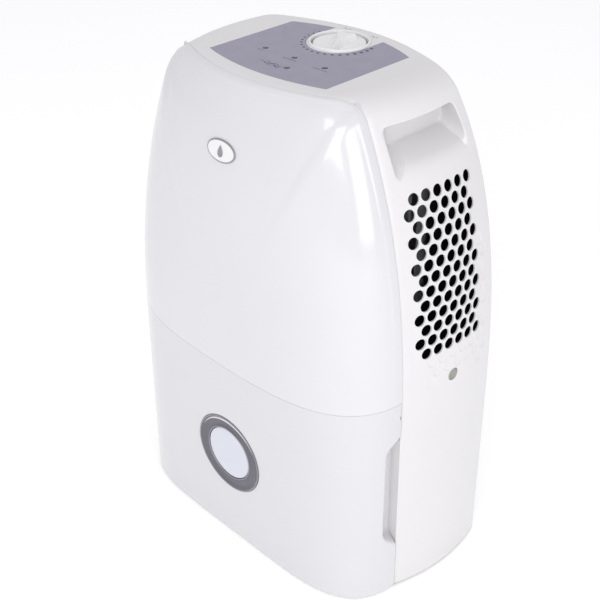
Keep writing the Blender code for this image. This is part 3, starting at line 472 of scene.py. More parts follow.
class Finish:
    """A Principled material with helpers that add procedural detail in object coordinates."""

    def __init__(self, name, colour, roughness, metallic=0.0, coat=0.0):
        self.material = bpy.data.materials.new(name)
        self.material.use_nodes = True
        self.tree = self.material.node_tree
        self.shader = self.tree.nodes["Principled BSDF"]
        self.set("Base Color", (*colour, 1))
        self.set("Roughness", roughness)
        self.set("Metallic", metallic)
        self.set("Coat Weight", coat)
        self.set("Coat Roughness", 0.06)
        self.coordinates = self.node("ShaderNodeTexCoord").outputs["Object"]

    def set(self, socket, value):
        self.shader.inputs[socket].default_value = value

    def node(self, kind, **inputs):
        made = self.tree.nodes.new(kind)
        for key, value in inputs.items():
            made.inputs[key.replace("_", " ")].default_value = value
        return made

    def join(self, output, target):
        self.tree.links.new(output, target)

    def noise(self, scale, detail, stretch=None):
        made = self.node("ShaderNodeTexNoise", Scale=scale, Detail=detail)
        source = self.coordinates
        if stretch:
            mapping = self.node("ShaderNodeMapping", Scale=stretch)
            self.join(source, mapping.inputs["Vector"])
            source = mapping.outputs["Vector"]
        self.join(source, made.inputs["Vector"])
        return made.outputs["Fac"]

    def vary(self, socket, factor, low, high):
        """Drives a number socket from a factor."""
        scaled = self.node("ShaderNodeMapRange", From_Min=0.3, From_Max=0.7, To_Min=low, To_Max=high)
        self.join(factor, scaled.inputs["Value"])
        self.join(scaled.outputs["Result"], self.shader.inputs[socket])

    def tint(self, factor, first, second):
        """Drives the colour from a factor, between two colours."""
        mix = self.node("ShaderNodeMix")
        mix.data_type = "RGBA"
        colours = [i for i in mix.inputs if i.type == "RGBA"]
        colours[0].default_value = (*first, 1)
        colours[1].default_value = (*second, 1)
        self.join(factor, mix.inputs["Factor"])
        output = [o for o in mix.outputs if o.type == "RGBA"][0]
        self.join(output, self.shader.inputs["Base Color"])

    def bump(self, factor, distance):
        made = self.node("ShaderNodeBump", Strength=1.0, Distance=distance)
        self.join(factor, made.inputs["Height"])
        self.join(made.outputs["Normal"], self.shader.inputs["Normal"])


def plastic(name, colour, roughness, coat=0.0, grain=900, depth=0.00002, cloud=0.015):
    made = Finish(name, colour, roughness, coat=coat)
    made.vary("Roughness", made.noise(60, 4), roughness * 0.85, roughness * 1.15)
    made.tint(made.noise(9, 2), [c * (1 - cloud) for c in colour], [min(1, c * (1 + cloud)) for c in colour])
    made.bump(made.noise(grain, 2), depth)
    return made.material


def metal(name, colour, roughness, metallic=1.0, stretch=(1, 1, 1), grain=500, depth=0.00003):
    made = Finish(name, colour, roughness, metallic)
    made.vary("Roughness", made.noise(grain / 4, 4, stretch), roughness * 0.75, roughness * 1.3)
    made.tint(made.noise(25, 3), [c * 0.93 for c in colour], [min(1, c * 1.05) for c in colour])
    made.bump(made.noise(grain, 3, stretch), depth)
    return made.material


SMOOTH = 0.000004  # the depth of a polished surface's grain


def make_finishes():
    """Each material slot's finish."""
    found = {
        "white_plastic": plastic("white_satin", (0.655, 0.645, 0.648), 0.33, 0.15),
        "gloss_white": plastic("white_gloss", (0.624, 0.620, 0.636), 0.16, 0.6, 300, SMOOTH),
        # A darker copy of the front's gloss white: painted shade that darkens the whole tank front against the
        # front panel.
        "tank_white_painted_shade": plastic("white_tank_painted_shade", (0.602, 0.598, 0.613), 0.17, 0.5, 300, SMOOTH),
        # A lighter copy of the white satin: painted light that brightens the knob's top, and also the collar
        # and the badge face that share it.
        "knob_white_painted_light": plastic("knob_satin_painted_light", (0.74, 0.735, 0.74), 0.3, 0.2),
        "panel_grey": plastic("panel_grey", (0.272, 0.262, 0.333), 0.42, 0, 2200, 0.00001),
        "lens_blue": plastic("window_pale", (0.58, 0.60, 0.66), 0.18, 0.4, 400, 0.000005),
        "lamp_dark": plastic("lamp_smoke", (0.035, 0.03, 0.05), 0.2, 0.5, 900, SMOOTH),
        "print_dark": plastic("print_dark", (0.045, 0.04, 0.07), 0.55),
        "rubber_grey": plastic("rubber_grey", (0.29, 0.30, 0.26), 0.7, 0, 1500, 0.00006, 0.05),
        "dark_plastic": plastic("dark_plastic", (0.035, 0.036, 0.04), 0.5, 0, 1200, 0.00005, 0.1),
        "foam_white": plastic("foam_white", (0.80, 0.80, 0.76), 0.9, 0, 900, 0.0003, 0.04),
        "black_paint": plastic("black_enamel", (0.018, 0.018, 0.02), 0.28, 0.5, 350, 0.00008, 0.1),
        "board_green": plastic("board_green", (0.02, 0.16, 0.07), 0.35, 0.4, 700, 0.00005, 0.2),
        "bezel_grey": metal("bezel_lacquer", (0.15, 0.143, 0.165), 0.42, 0.5, grain=1800, depth=0.000008),
        "silver": metal("trim_silver", (0.30, 0.295, 0.33), 0.38, 0.7, depth=0.000006),
        "badge_silver": metal("badge_silver", (0.30, 0.30, 0.33), 0.45, 0.5, depth=0.000006),
        "steel": metal("plated_steel", (0.50, 0.51, 0.53), 0.34, stretch=(1, 1, 12)),
        "coil_aluminium": metal("coil_aluminium", (0.68, 0.70, 0.72), 0.38, stretch=(1, 1, 30)),
        "copper": metal("copper_tube", (0.72, 0.36, 0.22), 0.3),
    }
    clear = Finish("tank_translucent", (0.80, 0.86, 0.90), 0.22)
    clear.set("Transmission Weight", 0.55)
    clear.set("IOR", 1.35)
    clear.bump(clear.noise(260, 3), 0.00008)
    clear.vary("Roughness", clear.noise(40, 3), 0.18, 0.32)
    found["clear_plastic"] = clear.material
    duct = Finish("duct_black", (0.004, 0.004, 0.005), 0.9)
    duct.set("Specular IOR Level", 0.05)
    duct.vary("Roughness", duct.noise(60, 4), 0.8, 0.95)
    duct.bump(duct.noise(1200, 2), 0.00005)
    found["duct_black"] = duct.material
    return found


# ---------------------------------------------------------------- the hood

def rounded_loop(corners, radius):
    """A closed loop through corners with each one rounded, and points along the straight runs."""
    loop = []
    total, count, edge_step = len(corners), 7, 5 * MM
    for i in range(total):
        before, corner, after = (Vector(corners[(i + k) % total]) for k in (-1, 0, 1))
        start = corner + (before - corner).normalized() * radius
        end = corner + (after - corner).normalized() * radius
        loop += [bend(start, corner, end, k / count) for k in range(count + 1)]
        next_start = after + (corner - after).normalized() * radius
        pieces = max(1, int((next_start - end).length / edge_step))
        loop += [end.lerp(next_start, k / pieces) for k in range(1, pieces)]
    return loop


def row_dip(y):
    """How far a row of outlet holes has sunk at y."""
    share = (DIP_FROM - y) / DIP_LENGTH
    return HOLE_DIP * min(1.0, max(0.0, share)) ** 2


def hole_place(row, i):
    """y and z of a hole in the grille's pattern, before its row sinks."""
    shift = 0.5 if row % 2 == 0 else 0
    return FIRST_HOLE[0] + (i + shift) * HOLE_PITCH, FIRST_HOLE[1] - row * HOLE_ROW


def vent_places():
    for row in range(HOLE_ROWS):
        for i in range(HOLES_IN_ROW):
            y, z = hole_place(row, i)
            yield y, z - row_dip(y)


def blind_places():
    """The closed dimples that carry the grille's pattern on towards the back and the drain."""
    for row in range(FIRST_DIMPLE_ROW, HOLE_ROWS + 3):
        for i in range(HOLES_IN_ROW + 1):
            y, z = hole_place(row, i)
            behind = i == HOLES_IN_ROW
            below = row >= HOLE_ROWS and 0 < i < HOLES_IN_ROW + 1 - (row - HOLE_ROWS)
            near_drain = math.hypot(y - DRAIN_Y, z - DRAIN_Z) < 13 * MM
            if (behind or below) and not near_drain and y < DIMPLE_END_Y:
                yield y, z


def on_side(y, z):
    """Flat coordinates of a place on the right side."""
    s = OUTLINE.s_of_z(z)
    return s, warp(s, y)


def on_top(x, y):
    """Flat coordinates of a place on the top."""
    s = x
    for _ in range(6):
        s = x + waist(s, y)
    return s, warp(s, y)


def pocket_parts(side):
    """The handle pocket's loop on the hood, and the rings of its two faces."""
    mouth = [on_side(y, z) for y, z in rounded_loop(POCKET_MOUTH, POCKET_CORNER)]
    back = rounded_loop(POCKET_BACK, POCKET_CORNER)
    turned_mouth = turned_left(mouth)
    if not np.allclose(turned_mouth[0], mouth[0]):
        back = back[::-1]
    count = len(turned_mouth)
    back = resample_like(back, turned_mouth)
    front_rings, back_rings = [], []
    edge = [hood_point(s, w) for s, w in turned_mouth]
    ahead = [hood_point(s, w) for s, w in grown(turned_mouth, -1 * MM)]
    floor = [Vector((POCKET_BACK_X, y, z)) for y, z in back]
    middle = sum(floor, Vector()) / count
    for t in (0.2, 0.4, 0.6, 0.8, 1.0):
        ring_points = []
        for a, b, f in zip(edge, ahead, floor):
            low = smooth((452 * MM - a.z) / (12 * MM)) * smooth((a.y + 17 * MM) / (10 * MM))
            soft = POCKET_LIP + POCKET_LOW_LIP * low
            corner = a + (b - a).normalized() * soft
            end = corner + (f - corner).normalized() * soft
            ring_points.append(bend(a, corner, end, t))
        front_rings.append(ring_points)
    start = front_rings[-1]
    for t in (0.25, 0.5, 0.75, 0.9):
        front_rings.append([a.lerp(b, t) for a, b in zip(start, floor)])
    wall = front_rings[-1]
    for t in (0.25, 0.5, 0.75, 1.0):
        front_rings.append([bend(a, f, f.lerp(middle, 0.25), t) for a, f in zip(wall, floor)])
    front_rings.append([p.lerp(middle, 0.5) for p in front_rings[-1]])
    for ring_points in (start, wall):
        centre = sum(ring_points, Vector()) / count
        back_rings.append([p + (p - centre).normalized() * SHELL for p in ring_points])
    away = Vector((-SHELL, 0, 0))
    back_rings.append([p + (p - middle).normalized() * SHELL * 0.6 + away for p in floor])
    if side < 0:
        mirror = Vector((-1, 1, 1))
        turned_mouth = turned_mouth * np.array([-1, 1])
        front_rings = [[p * mirror for p in r][::-1] for r in front_rings]
        back_rings = [[p * mirror for p in r][::-1] for r in back_rings]
        turned_mouth = turned_mouth[::-1]
    return turned_mouth, front_rings, back_rings


def resample_like(loop, guide):
    """Points round a loop, as far along it as the guide's points are along theirs."""
    loop = np.array(loop)
    guide = np.array(guide)

    def shares(points):
        steps = np.hypot(*(np.roll(points, -1, axis=0) - points).T)
        return np.concatenate([[0], np.cumsum(steps)]) / steps.sum()

    wanted = shares(guide)[:-1]
    have = shares(loop)
    closed = np.vstack([loop, loop[:1]])
    return [tuple(p) for p in np.stack([np.interp(wanted, have, closed[:, k]) for k in (0, 1)], axis=1)]


def panel_outline(grow):
    """The control panel's outline on the top, with a notch at the back for the dial."""
    half = PANEL_HALF + grow
    notch = NOTCH_RADIUS - grow
    steps_round = 40
    front, right, bay = [], [], []
    for i in range(steps_round + 1):
        x = -half + 2 * half * i / steps_round
        front.append((x, PANEL_FRONT_Y - grow + PANEL_FRONT_CURVE * x * x))
    for i in range(11):
        x = half + (notch - half) * i / 10
        right.append((x, PANEL_BACK_Y + grow + PANEL_BACK_CURVE * x * x))
    for i in range(steps_round + 1):
        angle = -math.pi * i / steps_round
        bay.append((notch * math.cos(angle), DIAL.y + notch * math.sin(angle)))
    left = [(-x, y) for x, y in reversed(right)]
    return soften([(x + PANEL_X, y) for x, y in front + right + bay + left], 1.0 * MM)


def soften(loop, radius):
    """The loop with its sharp corners cut by short arcs."""
    made = []
    total = len(loop)
    for i in range(total):
        before, corner, after = (Vector(loop[(i + k) % total]) for k in (-1, 0, 1))
        turn = (corner - before).angle(after - corner, 0.0) if (corner - before).length > 1e-9 else 0.0
        if turn < math.radians(25):
            made.append(tuple(corner))
            continue
        r = min(radius, (before - corner).length * 0.45, (after - corner).length * 0.45)
        start = corner + (before - corner).normalized() * r
        end = corner + (after - corner).normalized() * r
        made += [tuple(bend(start, corner, end, k / 4)) for k in range(5)]
    return made


def steps(low, high, size):
    """Even steps from low to high, none longer than size."""
    count = max(1, math.ceil((high - low) / size))
    return [low + (high - low) * i / count for i in range(count + 1)]


def frame_grid(across, up):
    """The outline of a rectangle of grid lines, and the points inside it."""
    outer = [(a, up[0]) for a in across] + [(across[-1], b) for b in up[1:-1]]
    outer += [(a, up[-1]) for a in reversed(across)] + [(across[0], b) for b in reversed(up[1:-1])]
    return outer, [(a, b) for a in across[1:-1] for b in up[1:-1]]


def make_hood(material):
    length = OUTLINE.length
    half = steps(0, TOP_FLAT, 6 * MM) + steps(TOP_FLAT, OUTLINE.shoulder_s, 1.6 * MM)
    half += steps(OUTLINE.shoulder_s, length - 4 * MM, 7 * MM)
    half += [length - d * MM for d in (2.6, 1.6, 0.9, 0.4, 0.1, 0)]
    s_lines = spread(half + [-v for v in half])
    w_lines = [SEAM_Y + d * MM for d in (0, 0.08, 0.3, 0.7, 1.3, 2.2, 3.3, 4.6, 6)]
    w_lines += steps(SEAM_Y + 9 * MM, REAR_BASE, 6 * MM)
    w_lines += [REAR_BASE + REAR_ROUND * math.radians(a) for a in range(10, 91, 10)]
    w_lines += steps(REAR_BASE + REAR_ROUND * math.pi / 2, WRAP_END, 4 * MM)
    w_lines = spread(w_lines)
    outer, grid = frame_grid(s_lines, w_lines)

    # each dimple has a ring of points on either side of its edge, and none between
    dimples = [on_side(y, z) for y, z in blind_places()]
    inner, outside = DIMPLE_RADIUS - 0.3 * MM, DIMPLE_RADIUS + 0.3 * MM
    for centre in dimples:
        for radius in (inner, outside):
            grid += ring(centre, radius, 24)

    def from_dimple(s, w):
        return min(math.hypot(s - ds, w - dw) for ds, dw in dimples)

    def sunk(s, w):
        return DIMPLE_DEPTH if s > 0 and from_dimple(s, w) < DIMPLE_RADIUS else 0.0

    keep = [p for p in grid if not inner + 0.1 * MM < from_dimple(*p) < outside - 0.1 * MM]

    vent_lip = LIP * 0.6
    holes = []
    for y, z in vent_places():
        holes.append((np.array(ring(on_side(y, z), HOLE_RADIUS + vent_lip, 28)), vent_lip))
    holes.append((np.array(ring(on_side(DRAIN_Y, DRAIN_Z), PLUG_RADIUS + 0.35 * MM + LIP, 32)), LIP))
    holes.append((np.array([on_top(x, y) for x, y in panel_outline(0.3 * MM + LIP)]), LIP))
    dial = ring((0, DIAL.y), WELL_RADIUS + 1.7 * MM, 72)
    holes.append((np.array([on_top(x, y) for x, y in dial]), 0))
    liners = [pocket_parts(1), pocket_parts(-1)]
    return make_shell(
        "housing_shell", outer, holes, keep, hood_point, HOOD_WALL, material, sunk=sunk, liners=liners
    )


# ---------------------------------------------------------------- front shells

class Rim:
    """The front's rim as seen from the middle of its dome, for the surface inside it."""

    def __init__(self):
        top = np.linspace(0, TOP_FLAT, 40)
        x = np.concatenate([top, OUTLINE.x[3:]])
        z = np.concatenate([np.full(40, HEIGHT), OUTLINE.z[3:]])
        x = np.array([v - waist(v, SEAM_Y) for v in x])
        used = z > DOME_Z - 2 * MM
        angle = np.arctan2(z[used] - DOME_Z, x[used])
        order = np.argsort(angle)
        self.angle = angle[order]
        self.radius = np.hypot(x[used], z[used] - DOME_Z)[order]


RIM = Rim()


def front_surface(x, z):
    """y of the front's surface for arrays of x and z, in the hood's narrowed plane."""
    x, z = np.abs(np.asarray(x, float)), np.asarray(z, float)
    rise_z = np.maximum(z - DOME_Z, 0)
    angle = np.arctan2(rise_z, np.maximum(x, 1e-9))
    radius = np.interp(angle, RIM.angle, RIM.radius)
    reach = side_x(z) - (SEAM_Y - WIDEST_Y) ** 2 / (2 * SIDE_RADIUS)
    low = z <= DOME_Z
    share = np.where(low, x / reach, np.hypot(x, rise_z) / radius)
    rim_x = np.where(low, reach, radius * np.cos(angle))
    rim_z = np.where(low, z, DOME_Z + radius * np.sin(angle))
    rim_y = front_edge(rim_x, rim_z) - GAP
    rise = np.where(low, 0, np.sin(angle) ** 2)
    face = FRONT - FRONT_LEAN * (1 - np.minimum(1, z / DOME_Z)) - FRONT_INSET
    share = np.minimum(1, share)
    power = FRONT_SQUARE + FOOT_SQUARE * np.maximum(0, 1 - z / DOME_Z) - DOME_SOFT * rise
    return rim_y - (face + rim_y) * np.sqrt(np.maximum(0, 1 - share**power))


class Section:
    """The front's plan curve by length from its middle, as shares of its reach."""

    def __init__(self):
        reach, depth = 165 * MM, 65.9 * MM
        share = 1 - (1 - np.linspace(0, 1, 1500)) ** 2
        x = reach * share
        y = -depth * np.sqrt(1 - share**4)
        self.share = share
        self.length = np.concatenate([[0], np.cumsum(np.hypot(np.diff(x), np.diff(y)))])
        self.half = float(self.length[-1])

    def at(self, a):
        return math.copysign(float(np.interp(abs(a), self.length, self.share)), a)


SECTION = Section()


def outline_point(s):
    x, z, _, _ = OUTLINE.at(s)
    return np.array([x, z])


def grid_normals(points):
    """Unit normals of a grid of points, facing the front."""
    across = np.gradient(points, axis=1)
    up = np.gradient(points, axis=0)
    normal = np.cross(across, up)
    normal /= np.maximum(1e-12, np.linalg.norm(normal, axis=2))[:, :, None]
    return normal if normal[:, :, 1].mean() < 0 else -normal


def grid_shell(name, points, thickness, material):
    """A wall behind a grid of points seen from the front."""
    rows, columns = points.shape[:2]
    behind = points - grid_normals(points) * thickness
    flat = np.concatenate([points.reshape(-1, 3), behind.reshape(-1, 3)])
    count = rows * columns
    faces = []
    for r in range(rows - 1):
        for c in range(columns - 1):
            a = r * columns + c
            quad = (a, a + 1, a + columns + 1, a + columns)
            faces.append(quad)
            faces.append(tuple(i + count for i in reversed(quad)))
    rim = list(range(columns)) + [r * columns + columns - 1 for r in range(1, rows)]
    rim += [(rows - 1) * columns + c for c in range(columns - 2, -1, -1)]
    rim += [r * columns for r in range(rows - 2, 0, -1)]
    faces += band(rim, [i + count for i in rim])
    obj = make_object(name, flat.tolist(), faces, material)
    turn_outwards(obj, merge=False)
    edges = obj.modifiers.new("edges", "BEVEL")
    edges.width = EDGE_BEVEL
    edges.segments = 2
    edges.limit_method = "ANGLE"
    edges.angle_limit = math.radians(55)
    finish_mesh(obj)
    close_up(obj)
    return obj


BEAD_WIDTH = 8.5 * MM  # a rounded bead along the front panel's top and sides
BEAD_STEP = 0.5 * MM  # how far the face inside it is sunk
BEAD_SLOPE = 3 * MM
BEAD_LOW, BEAD_HIGH = 250 * MM, 330 * MM  # it fades out between these heights


def add_bead(points):
    """The front panel's grid of points with its face sunk inside the bead."""
    across = np.linalg.norm(np.diff(points, axis=1), axis=2)
    from_left = np.concatenate([np.zeros((len(points), 1)), np.cumsum(across, axis=1)], axis=1)
    from_side = np.minimum(from_left, from_left[:, -1:] - from_left)
    up = np.linalg.norm(np.diff(points, axis=0), axis=2)[::-1]
    from_top = np.concatenate([np.zeros((1, points.shape[1])), np.cumsum(up, axis=0)])[::-1]
    near = 1 / (1 / (from_side + MM) ** 4 + 1 / (from_top + MM) ** 4) ** 0.25 - MM
    inner = np.clip((near - BEAD_WIDTH + BEAD_SLOPE / 2) / BEAD_SLOPE, 0, 1)
    fade = np.clip((points[:, :, 2] - BEAD_LOW) / (BEAD_HIGH - BEAD_LOW), 0, 1)
    sunk = BEAD_STEP * inner**2 * (3 - 2 * inner) * fade
    return points - grid_normals(points) * sunk[:, :, None]


def make_front_panel(material):
    """A patch between the split below, the hood's sides and its top, laid over the front's surface."""
    fine = SECTION.half - 16 * MM
    lengths = spread(steps(0, fine, 3.2 * MM) + steps(fine, SECTION.half, 1.3 * MM))
    half = [SECTION.at(a) for a in lengths]
    half[-1] = 1.0
    shares_u = [-v for v in reversed(half[1:])] + half
    shares_v = [1 - (1 - t) ** 1.7 for t in np.linspace(0, 1, 90)]
    start = OUTLINE.s_of_z(SPLIT_Z)
    corner = OUTLINE.s_of_z(shoulder(0.5).y)
    top_right = outline_point(corner)
    points = np.zeros((len(shares_v), len(shares_u), 3))
    for r, v in enumerate(shares_v):
        right = outline_point(start + (corner - start) * v)
        for c, u in enumerate(shares_u):
            narrow = np.array([u, 1])
            flat = right * narrow + (outline_point(corner * u) - top_right * narrow) * v
            x = flat[0] - waist(flat[0], SEAM_Y)
            fade = max(0.0, 1 - (flat[1] - SPLIT_Z) / SPLIT_FADE)
            z = flat[1] - (SPLIT_Z - split_z(flat[0])) * fade + SPLIT_GAP * fade / 2
            points[r, c] = (x, flat[1], z)
    y = front_surface(points[:, :, 0], points[:, :, 1])
    for r in range(len(shares_v)):
        for c in range(len(shares_u)):
            if c in (0, len(shares_u) - 1) or r == len(shares_v) - 1:
                y[r, c] = front_edge(points[r, c, 0], points[r, c, 1]) - 1.6 * GAP
    points[:, :, 1] = y
    return grid_shell("front_shell", add_bead(points), SHELL, material)


# Finger scoop: its heights along the rim and along its far edge, its reach from the rim, and its depth
SCOOP_LOW, SCOOP_HIGH = 57 * MM, 196 * MM
SCOOP_FLOOR_LOW, SCOOP_FLOOR_HIGH = 73 * MM, 183 * MM
SCOOP_REACH = 16.5 * MM
SCOOP_DEPTH = 11.5 * MM
SCOOP_END_SLOPE, SCOOP_SLOPE = 12 * MM, 8 * MM
NOTCH_Z = 216 * MM  # a small notch in each side rim of the tank, above its scoop
NOTCH_DEPTH = 1.2 * MM


def scoop_depth(from_rim, z):
    """How far the tank's wall is pressed in at a distance from its rim and a height."""
    low = SCOOP_LOW + (SCOOP_FLOOR_LOW - SCOOP_LOW) * from_rim / SCOOP_REACH
    high = SCOOP_HIGH + (SCOOP_FLOOR_HIGH - SCOOP_HIGH) * from_rim / SCOOP_REACH
    ends = smooth((z - low) / SCOOP_END_SLOPE) * smooth((high - z) / SCOOP_END_SLOPE)
    return SCOOP_DEPTH * ends * smooth((SCOOP_REACH - from_rim) / SCOOP_SLOPE)


def tank_point(a, z, sink=0.0):
    """The tank front's surface at a length a from the middle of its plan curve, and at a height."""
    share = (z - TANK_LOW) / (SPLIT_Z - TANK_LOW)
    u = SECTION.at(a)
    wide = u * side_x(z)
    x = wide - waist(wide, SEAM_Y)
    y = float(front_surface(x, z))
    if abs(u) > 0.9999:
        y = SEAM_Y - 2.4 * GAP - NOTCH_DEPTH * smooth((3 * MM - abs(z - NOTCH_Z)) / (1.5 * MM))
    bowed = z - (SPLIT_Z - split_z(wide)) * max(0.0, share) ** 3 - SPLIT_GAP * share / 2
    edge = rounding(z - TANK_LOW, 2.5 * MM)
    press = scoop_depth(SECTION.half - abs(a), z)
    slope = abs(u) ** 3
    nx, ny = slope, -math.sqrt(max(0.0, 1 - slope * slope))
    inward = max(sink, edge)
    side = math.copysign(1, u)
    return Vector((x - side * (nx * inward + press), y - ny * inward + 0.15 * press, bowed))


def make_tank_front(material):
    fine = SECTION.half - 24 * MM
    half = steps(0, fine, 5 * MM) + steps(fine, SECTION.half, 1.2 * MM)
    a_lines = spread(half + [-v for v in half])
    z_lines = [TANK_LOW + d * MM for d in (0, 0.15, 0.5, 1.1, 2.5)]
    z_lines += steps(8 * MM, 52 * MM, 6 * MM) + steps(52 * MM, 84 * MM, 1.3 * MM)
    z_lines += steps(84 * MM, 168 * MM, 6 * MM) + steps(168 * MM, 198 * MM, 1.3 * MM)
    z_lines += steps(198 * MM, NOTCH_Z - 4 * MM, 6 * MM)
    z_lines += steps(NOTCH_Z - 3 * MM, NOTCH_Z + 3 * MM, 1 * MM)
    z_lines += steps(NOTCH_Z + 5 * MM, SPLIT_Z - 0.8 * MM, 6 * MM) + [SPLIT_Z - 0.25 * MM, SPLIT_Z]
    z_lines = spread(z_lines)
    outer, grid = frame_grid(a_lines, z_lines)
    hole = np.array(ring((0, WINDOW_Z), WINDOW_RADIUS - 2 * MM, 96))
    return make_shell("tank_shell", outer, [(hole, 0)], grid, tank_point, SHELL, material)


# ---------------------------------------------------------------- trims and controls

def make_bay_frames(material):
    """The hood's inner flanges, which stand behind the tank's finger scoops."""
    made = []
    inner = 151 * MM
    for side, label in ((1, "right"), (-1, "left")):
        rows = []
        for z in steps(14 * MM, 228 * MM, 8 * MM):
            outer = side_x(z) - waist(side_x(z), SEAM_Y) - SHELL * 0.7
            row = [(inner, -28.6), (inner, -30.2), (inner + 1 * MM, -31.1), (outer, -31.1), (outer, -28.6)]
            rows.append([(side * x, y * MM, z) for x, y in row])
        flange = loft(f"bay_flange_{label}", rows, material, closed=True)
        close_up(flange)
        made.append(flange)
    return made


def make_panel(material):
    outline = np.array(panel_outline(-LIP * 0.5))
    lip = 0.2 * MM
    holes = [(np.array(ring(centre, LED_RADIUS + 0.4 * MM + lip, 28)), lip) for centre in LED_PLACES.values()]
    xs, ys = steps(-PANEL_HALF, PANEL_HALF, 6 * MM), steps(-46 * MM, 90 * MM, 6 * MM)
    grid = [(x, y) for x in xs for y in ys if inside(np.array([(x, y)]), outline)[0]]
    grid = [p for p in grid if np.hypot(*(outline - np.array(p)).T).min() > 1.5 * MM]

    def place(x, y, sink):
        return Vector((x, y, HEIGHT - PANEL_SINK - sink))

    return make_shell("panel_inlay", outline, holes, grid, place, 2.2 * MM, material)


def flat_marks(name, loops, material, place):
    """Thin printed shapes: each loop of (x, y) becomes a raised film on the surface that place gives."""
    points, faces = [], []
    for loop in loops:
        loop = turned_left(loop)
        start, count = len(points), len(loop)
        points += [place(x, y, 0.05 * MM) for x, y in loop]
        points += [place(x, y, -0.05 * MM) for x, y in loop]
        upper, lower = range(start, start + count), range(start + count, start + 2 * count)
        faces += [tuple(upper), tuple(reversed(lower))] + band(lower, upper)
    return make_object(name, points, faces, material)


def stroke(points, width):
    """A loop round a line of points, with tapered ends."""
    points = [Vector(p) for p in points]
    left, right = [], []
    for i, p in enumerate(points):
        along = (points[min(i + 1, len(points) - 1)] - points[max(i - 1, 0)]).normalized()
        half = width / 2 * (0.35 if i in (0, len(points) - 1) else 1)
        across = Vector((-along.y, along.x)) * half
        left.append(tuple(p + across))
        right.append(tuple(p - across))
    return right + left[::-1]


DOTS = 19
DOT_RING = 33.7 * MM
DOT_START, DOT_SWEEP = 165, 208  # degrees


def make_marks(material):
    """The rising ring of dots, short strokes in place of the captions, and three waves."""
    loops = []
    for i in range(DOTS):
        share = i / (DOTS - 1)
        angle = math.radians(DOT_START + DOT_SWEEP * share)
        centre = (DOT_RING * math.cos(angle) - 1 * MM, DIAL.y + DOT_RING * math.sin(angle))
        loops.append(ring(centre, (1.05 + 0.6 * share) * MM, 14))
    space = 0.6
    captions = {
        "led_power": (1.8, 2.6, 1.4),
        "led_running": (3, 2.2, 3.6, 2, 3.2),
        "led_tank_full": (2.2, 3.8, 1.8, 3, 3.4),
    }
    for name, lengths in captions.items():
        x, y = LED_PLACES[name]
        y -= 6 * MM
        left = -(sum(lengths) + space * (len(lengths) - 1)) / 2
        for length in lengths:
            low, high = x + left * MM, x + (left + length) * MM
            loops.append(stroke([(low, y), ((low + high) / 2, y), (high, y)], 1.0 * MM))
            left += length + space
    x, y = LED_PLACES["led_defrost"]
    for shift, reach in ((0, 26), (-2.1, 18), (2.1, 20)):
        wave = []
        for i in range(25):
            t = i / 24
            rise = shift - 3 + 1.1 * math.sin(t * 4 * math.pi)
            wave.append((x - 5 * MM - reach * MM * (1 - t), y + rise * MM))
        loops.append(stroke(wave, 0.55 * MM))

    def on_panel(x, y, lift):
        return Vector((x, y, HEIGHT - PANEL_SINK + lift))

    return flat_marks("panel_marks", loops, material, on_panel)


def make_top_marks(material):
    """A few curved strokes at each end of the dial's travel."""
    loops = []
    for x, y, lengths in ((-20 * MM, 90 * MM, (2.4, 2.8, 2.2)), (14 * MM, 90 * MM, (2.2, 2.2, 2.4))):
        left = -sum(lengths) / 2 - 0.4
        for i, length in enumerate(lengths):
            low, high = x + left * MM, x + (left + length) * MM
            middle, half = (low + high) / 2, (high - low) / 2
            bow = (0.8 if i % 2 == 0 else -0.8) * MM
            arc = [(middle + half * t, y + bow * (1 - t * t) * 1.4) for t in np.linspace(-1, 1, 9)]
            loops.append(stroke(arc, 0.6 * MM))
            left += length + 0.5

    def on_hood(x, y, lift):
        return hood_point(*on_top(x, y), -lift if lift > 0 else 0.02 * MM)

    return flat_marks("dial_end_marks", loops, material, on_hood)


AXIS = 1e-5  # a profile's end on its axis, where the points merge


def in_mm(profile):
    """A (radius, height) profile given in millimetres. A tiny radius stands for the axis and is kept."""
    return [(r if r < 1e-4 else r * MM, h * MM) for r, h in profile]


def make_leds(material):
    side, under = LED_RADIUS / MM, -5.8
    dome = [(AXIS, 0.35), (0.9, 0.3), (1.6, 0.12), (2.05, -0.2), (side, -0.6)]
    profile = in_mm(dome + [(side, under), (AXIS, under)])
    made = {}
    for name, (x, y) in LED_PLACES.items():
        made[name] = turned(f"{name}_lens", profile, (x, y, HEIGHT - 0.45 * MM), (0, 0, 1), material, 32)
    return made


def make_collar(white):
    """The rounded ring round the knob, with the cup that the knob sits in."""
    inner = (WELL_RADIUS + 0.5 * MM) / MM
    outer, bore, floor = inner + 0.9, 4.4, -6
    cup = [
        (28.4, -0.2), (28.45, 0.5), (28.2, 1.3), (27.6, 2.0), (27.0, 2.2), (26.5, 1.9), (26.15, 1.2),
        (inner, 0.2), (inner, floor), (bore, floor), (bore, floor - 1.5), (outer, floor - 1.5), (outer, -0.2),
        (28.4, -0.2),
    ]
    return turned("dial_collar", in_mm(cup), DIAL, (0, 0, 1), white, 128)


def segment_side(p, a, b):
    """Distance of p to the left of the line from a to b."""
    along = (b - a).normalized()
    return along.x * (p.y - a.y) - along.y * (p.x - a.x)


BLADE_TIP = Vector((11.6 * MM, -23.5 * MM))
BLADE_LEFT = Vector((-14.5 * MM, 10 * MM))
BLADE_RIGHT = Vector((6 * MM, 18 * MM))
BLADE_HEIGHT = 4.5 * MM
BLADE_LENGTH = 38 * MM
BLADE_WAIST = 3 * MM  # how far the blade's flanks bow inwards
HOLLOW = Vector((3 * MM, 10 * MM))  # from the blade's tip to the thumb hollow's middle
HOLLOW_DEPTH = 2.6 * MM
KNOB_DISH = 0.6 * MM
KNOB_DROP = 1.6 * MM  # the visible disc sits this much lower in its collar


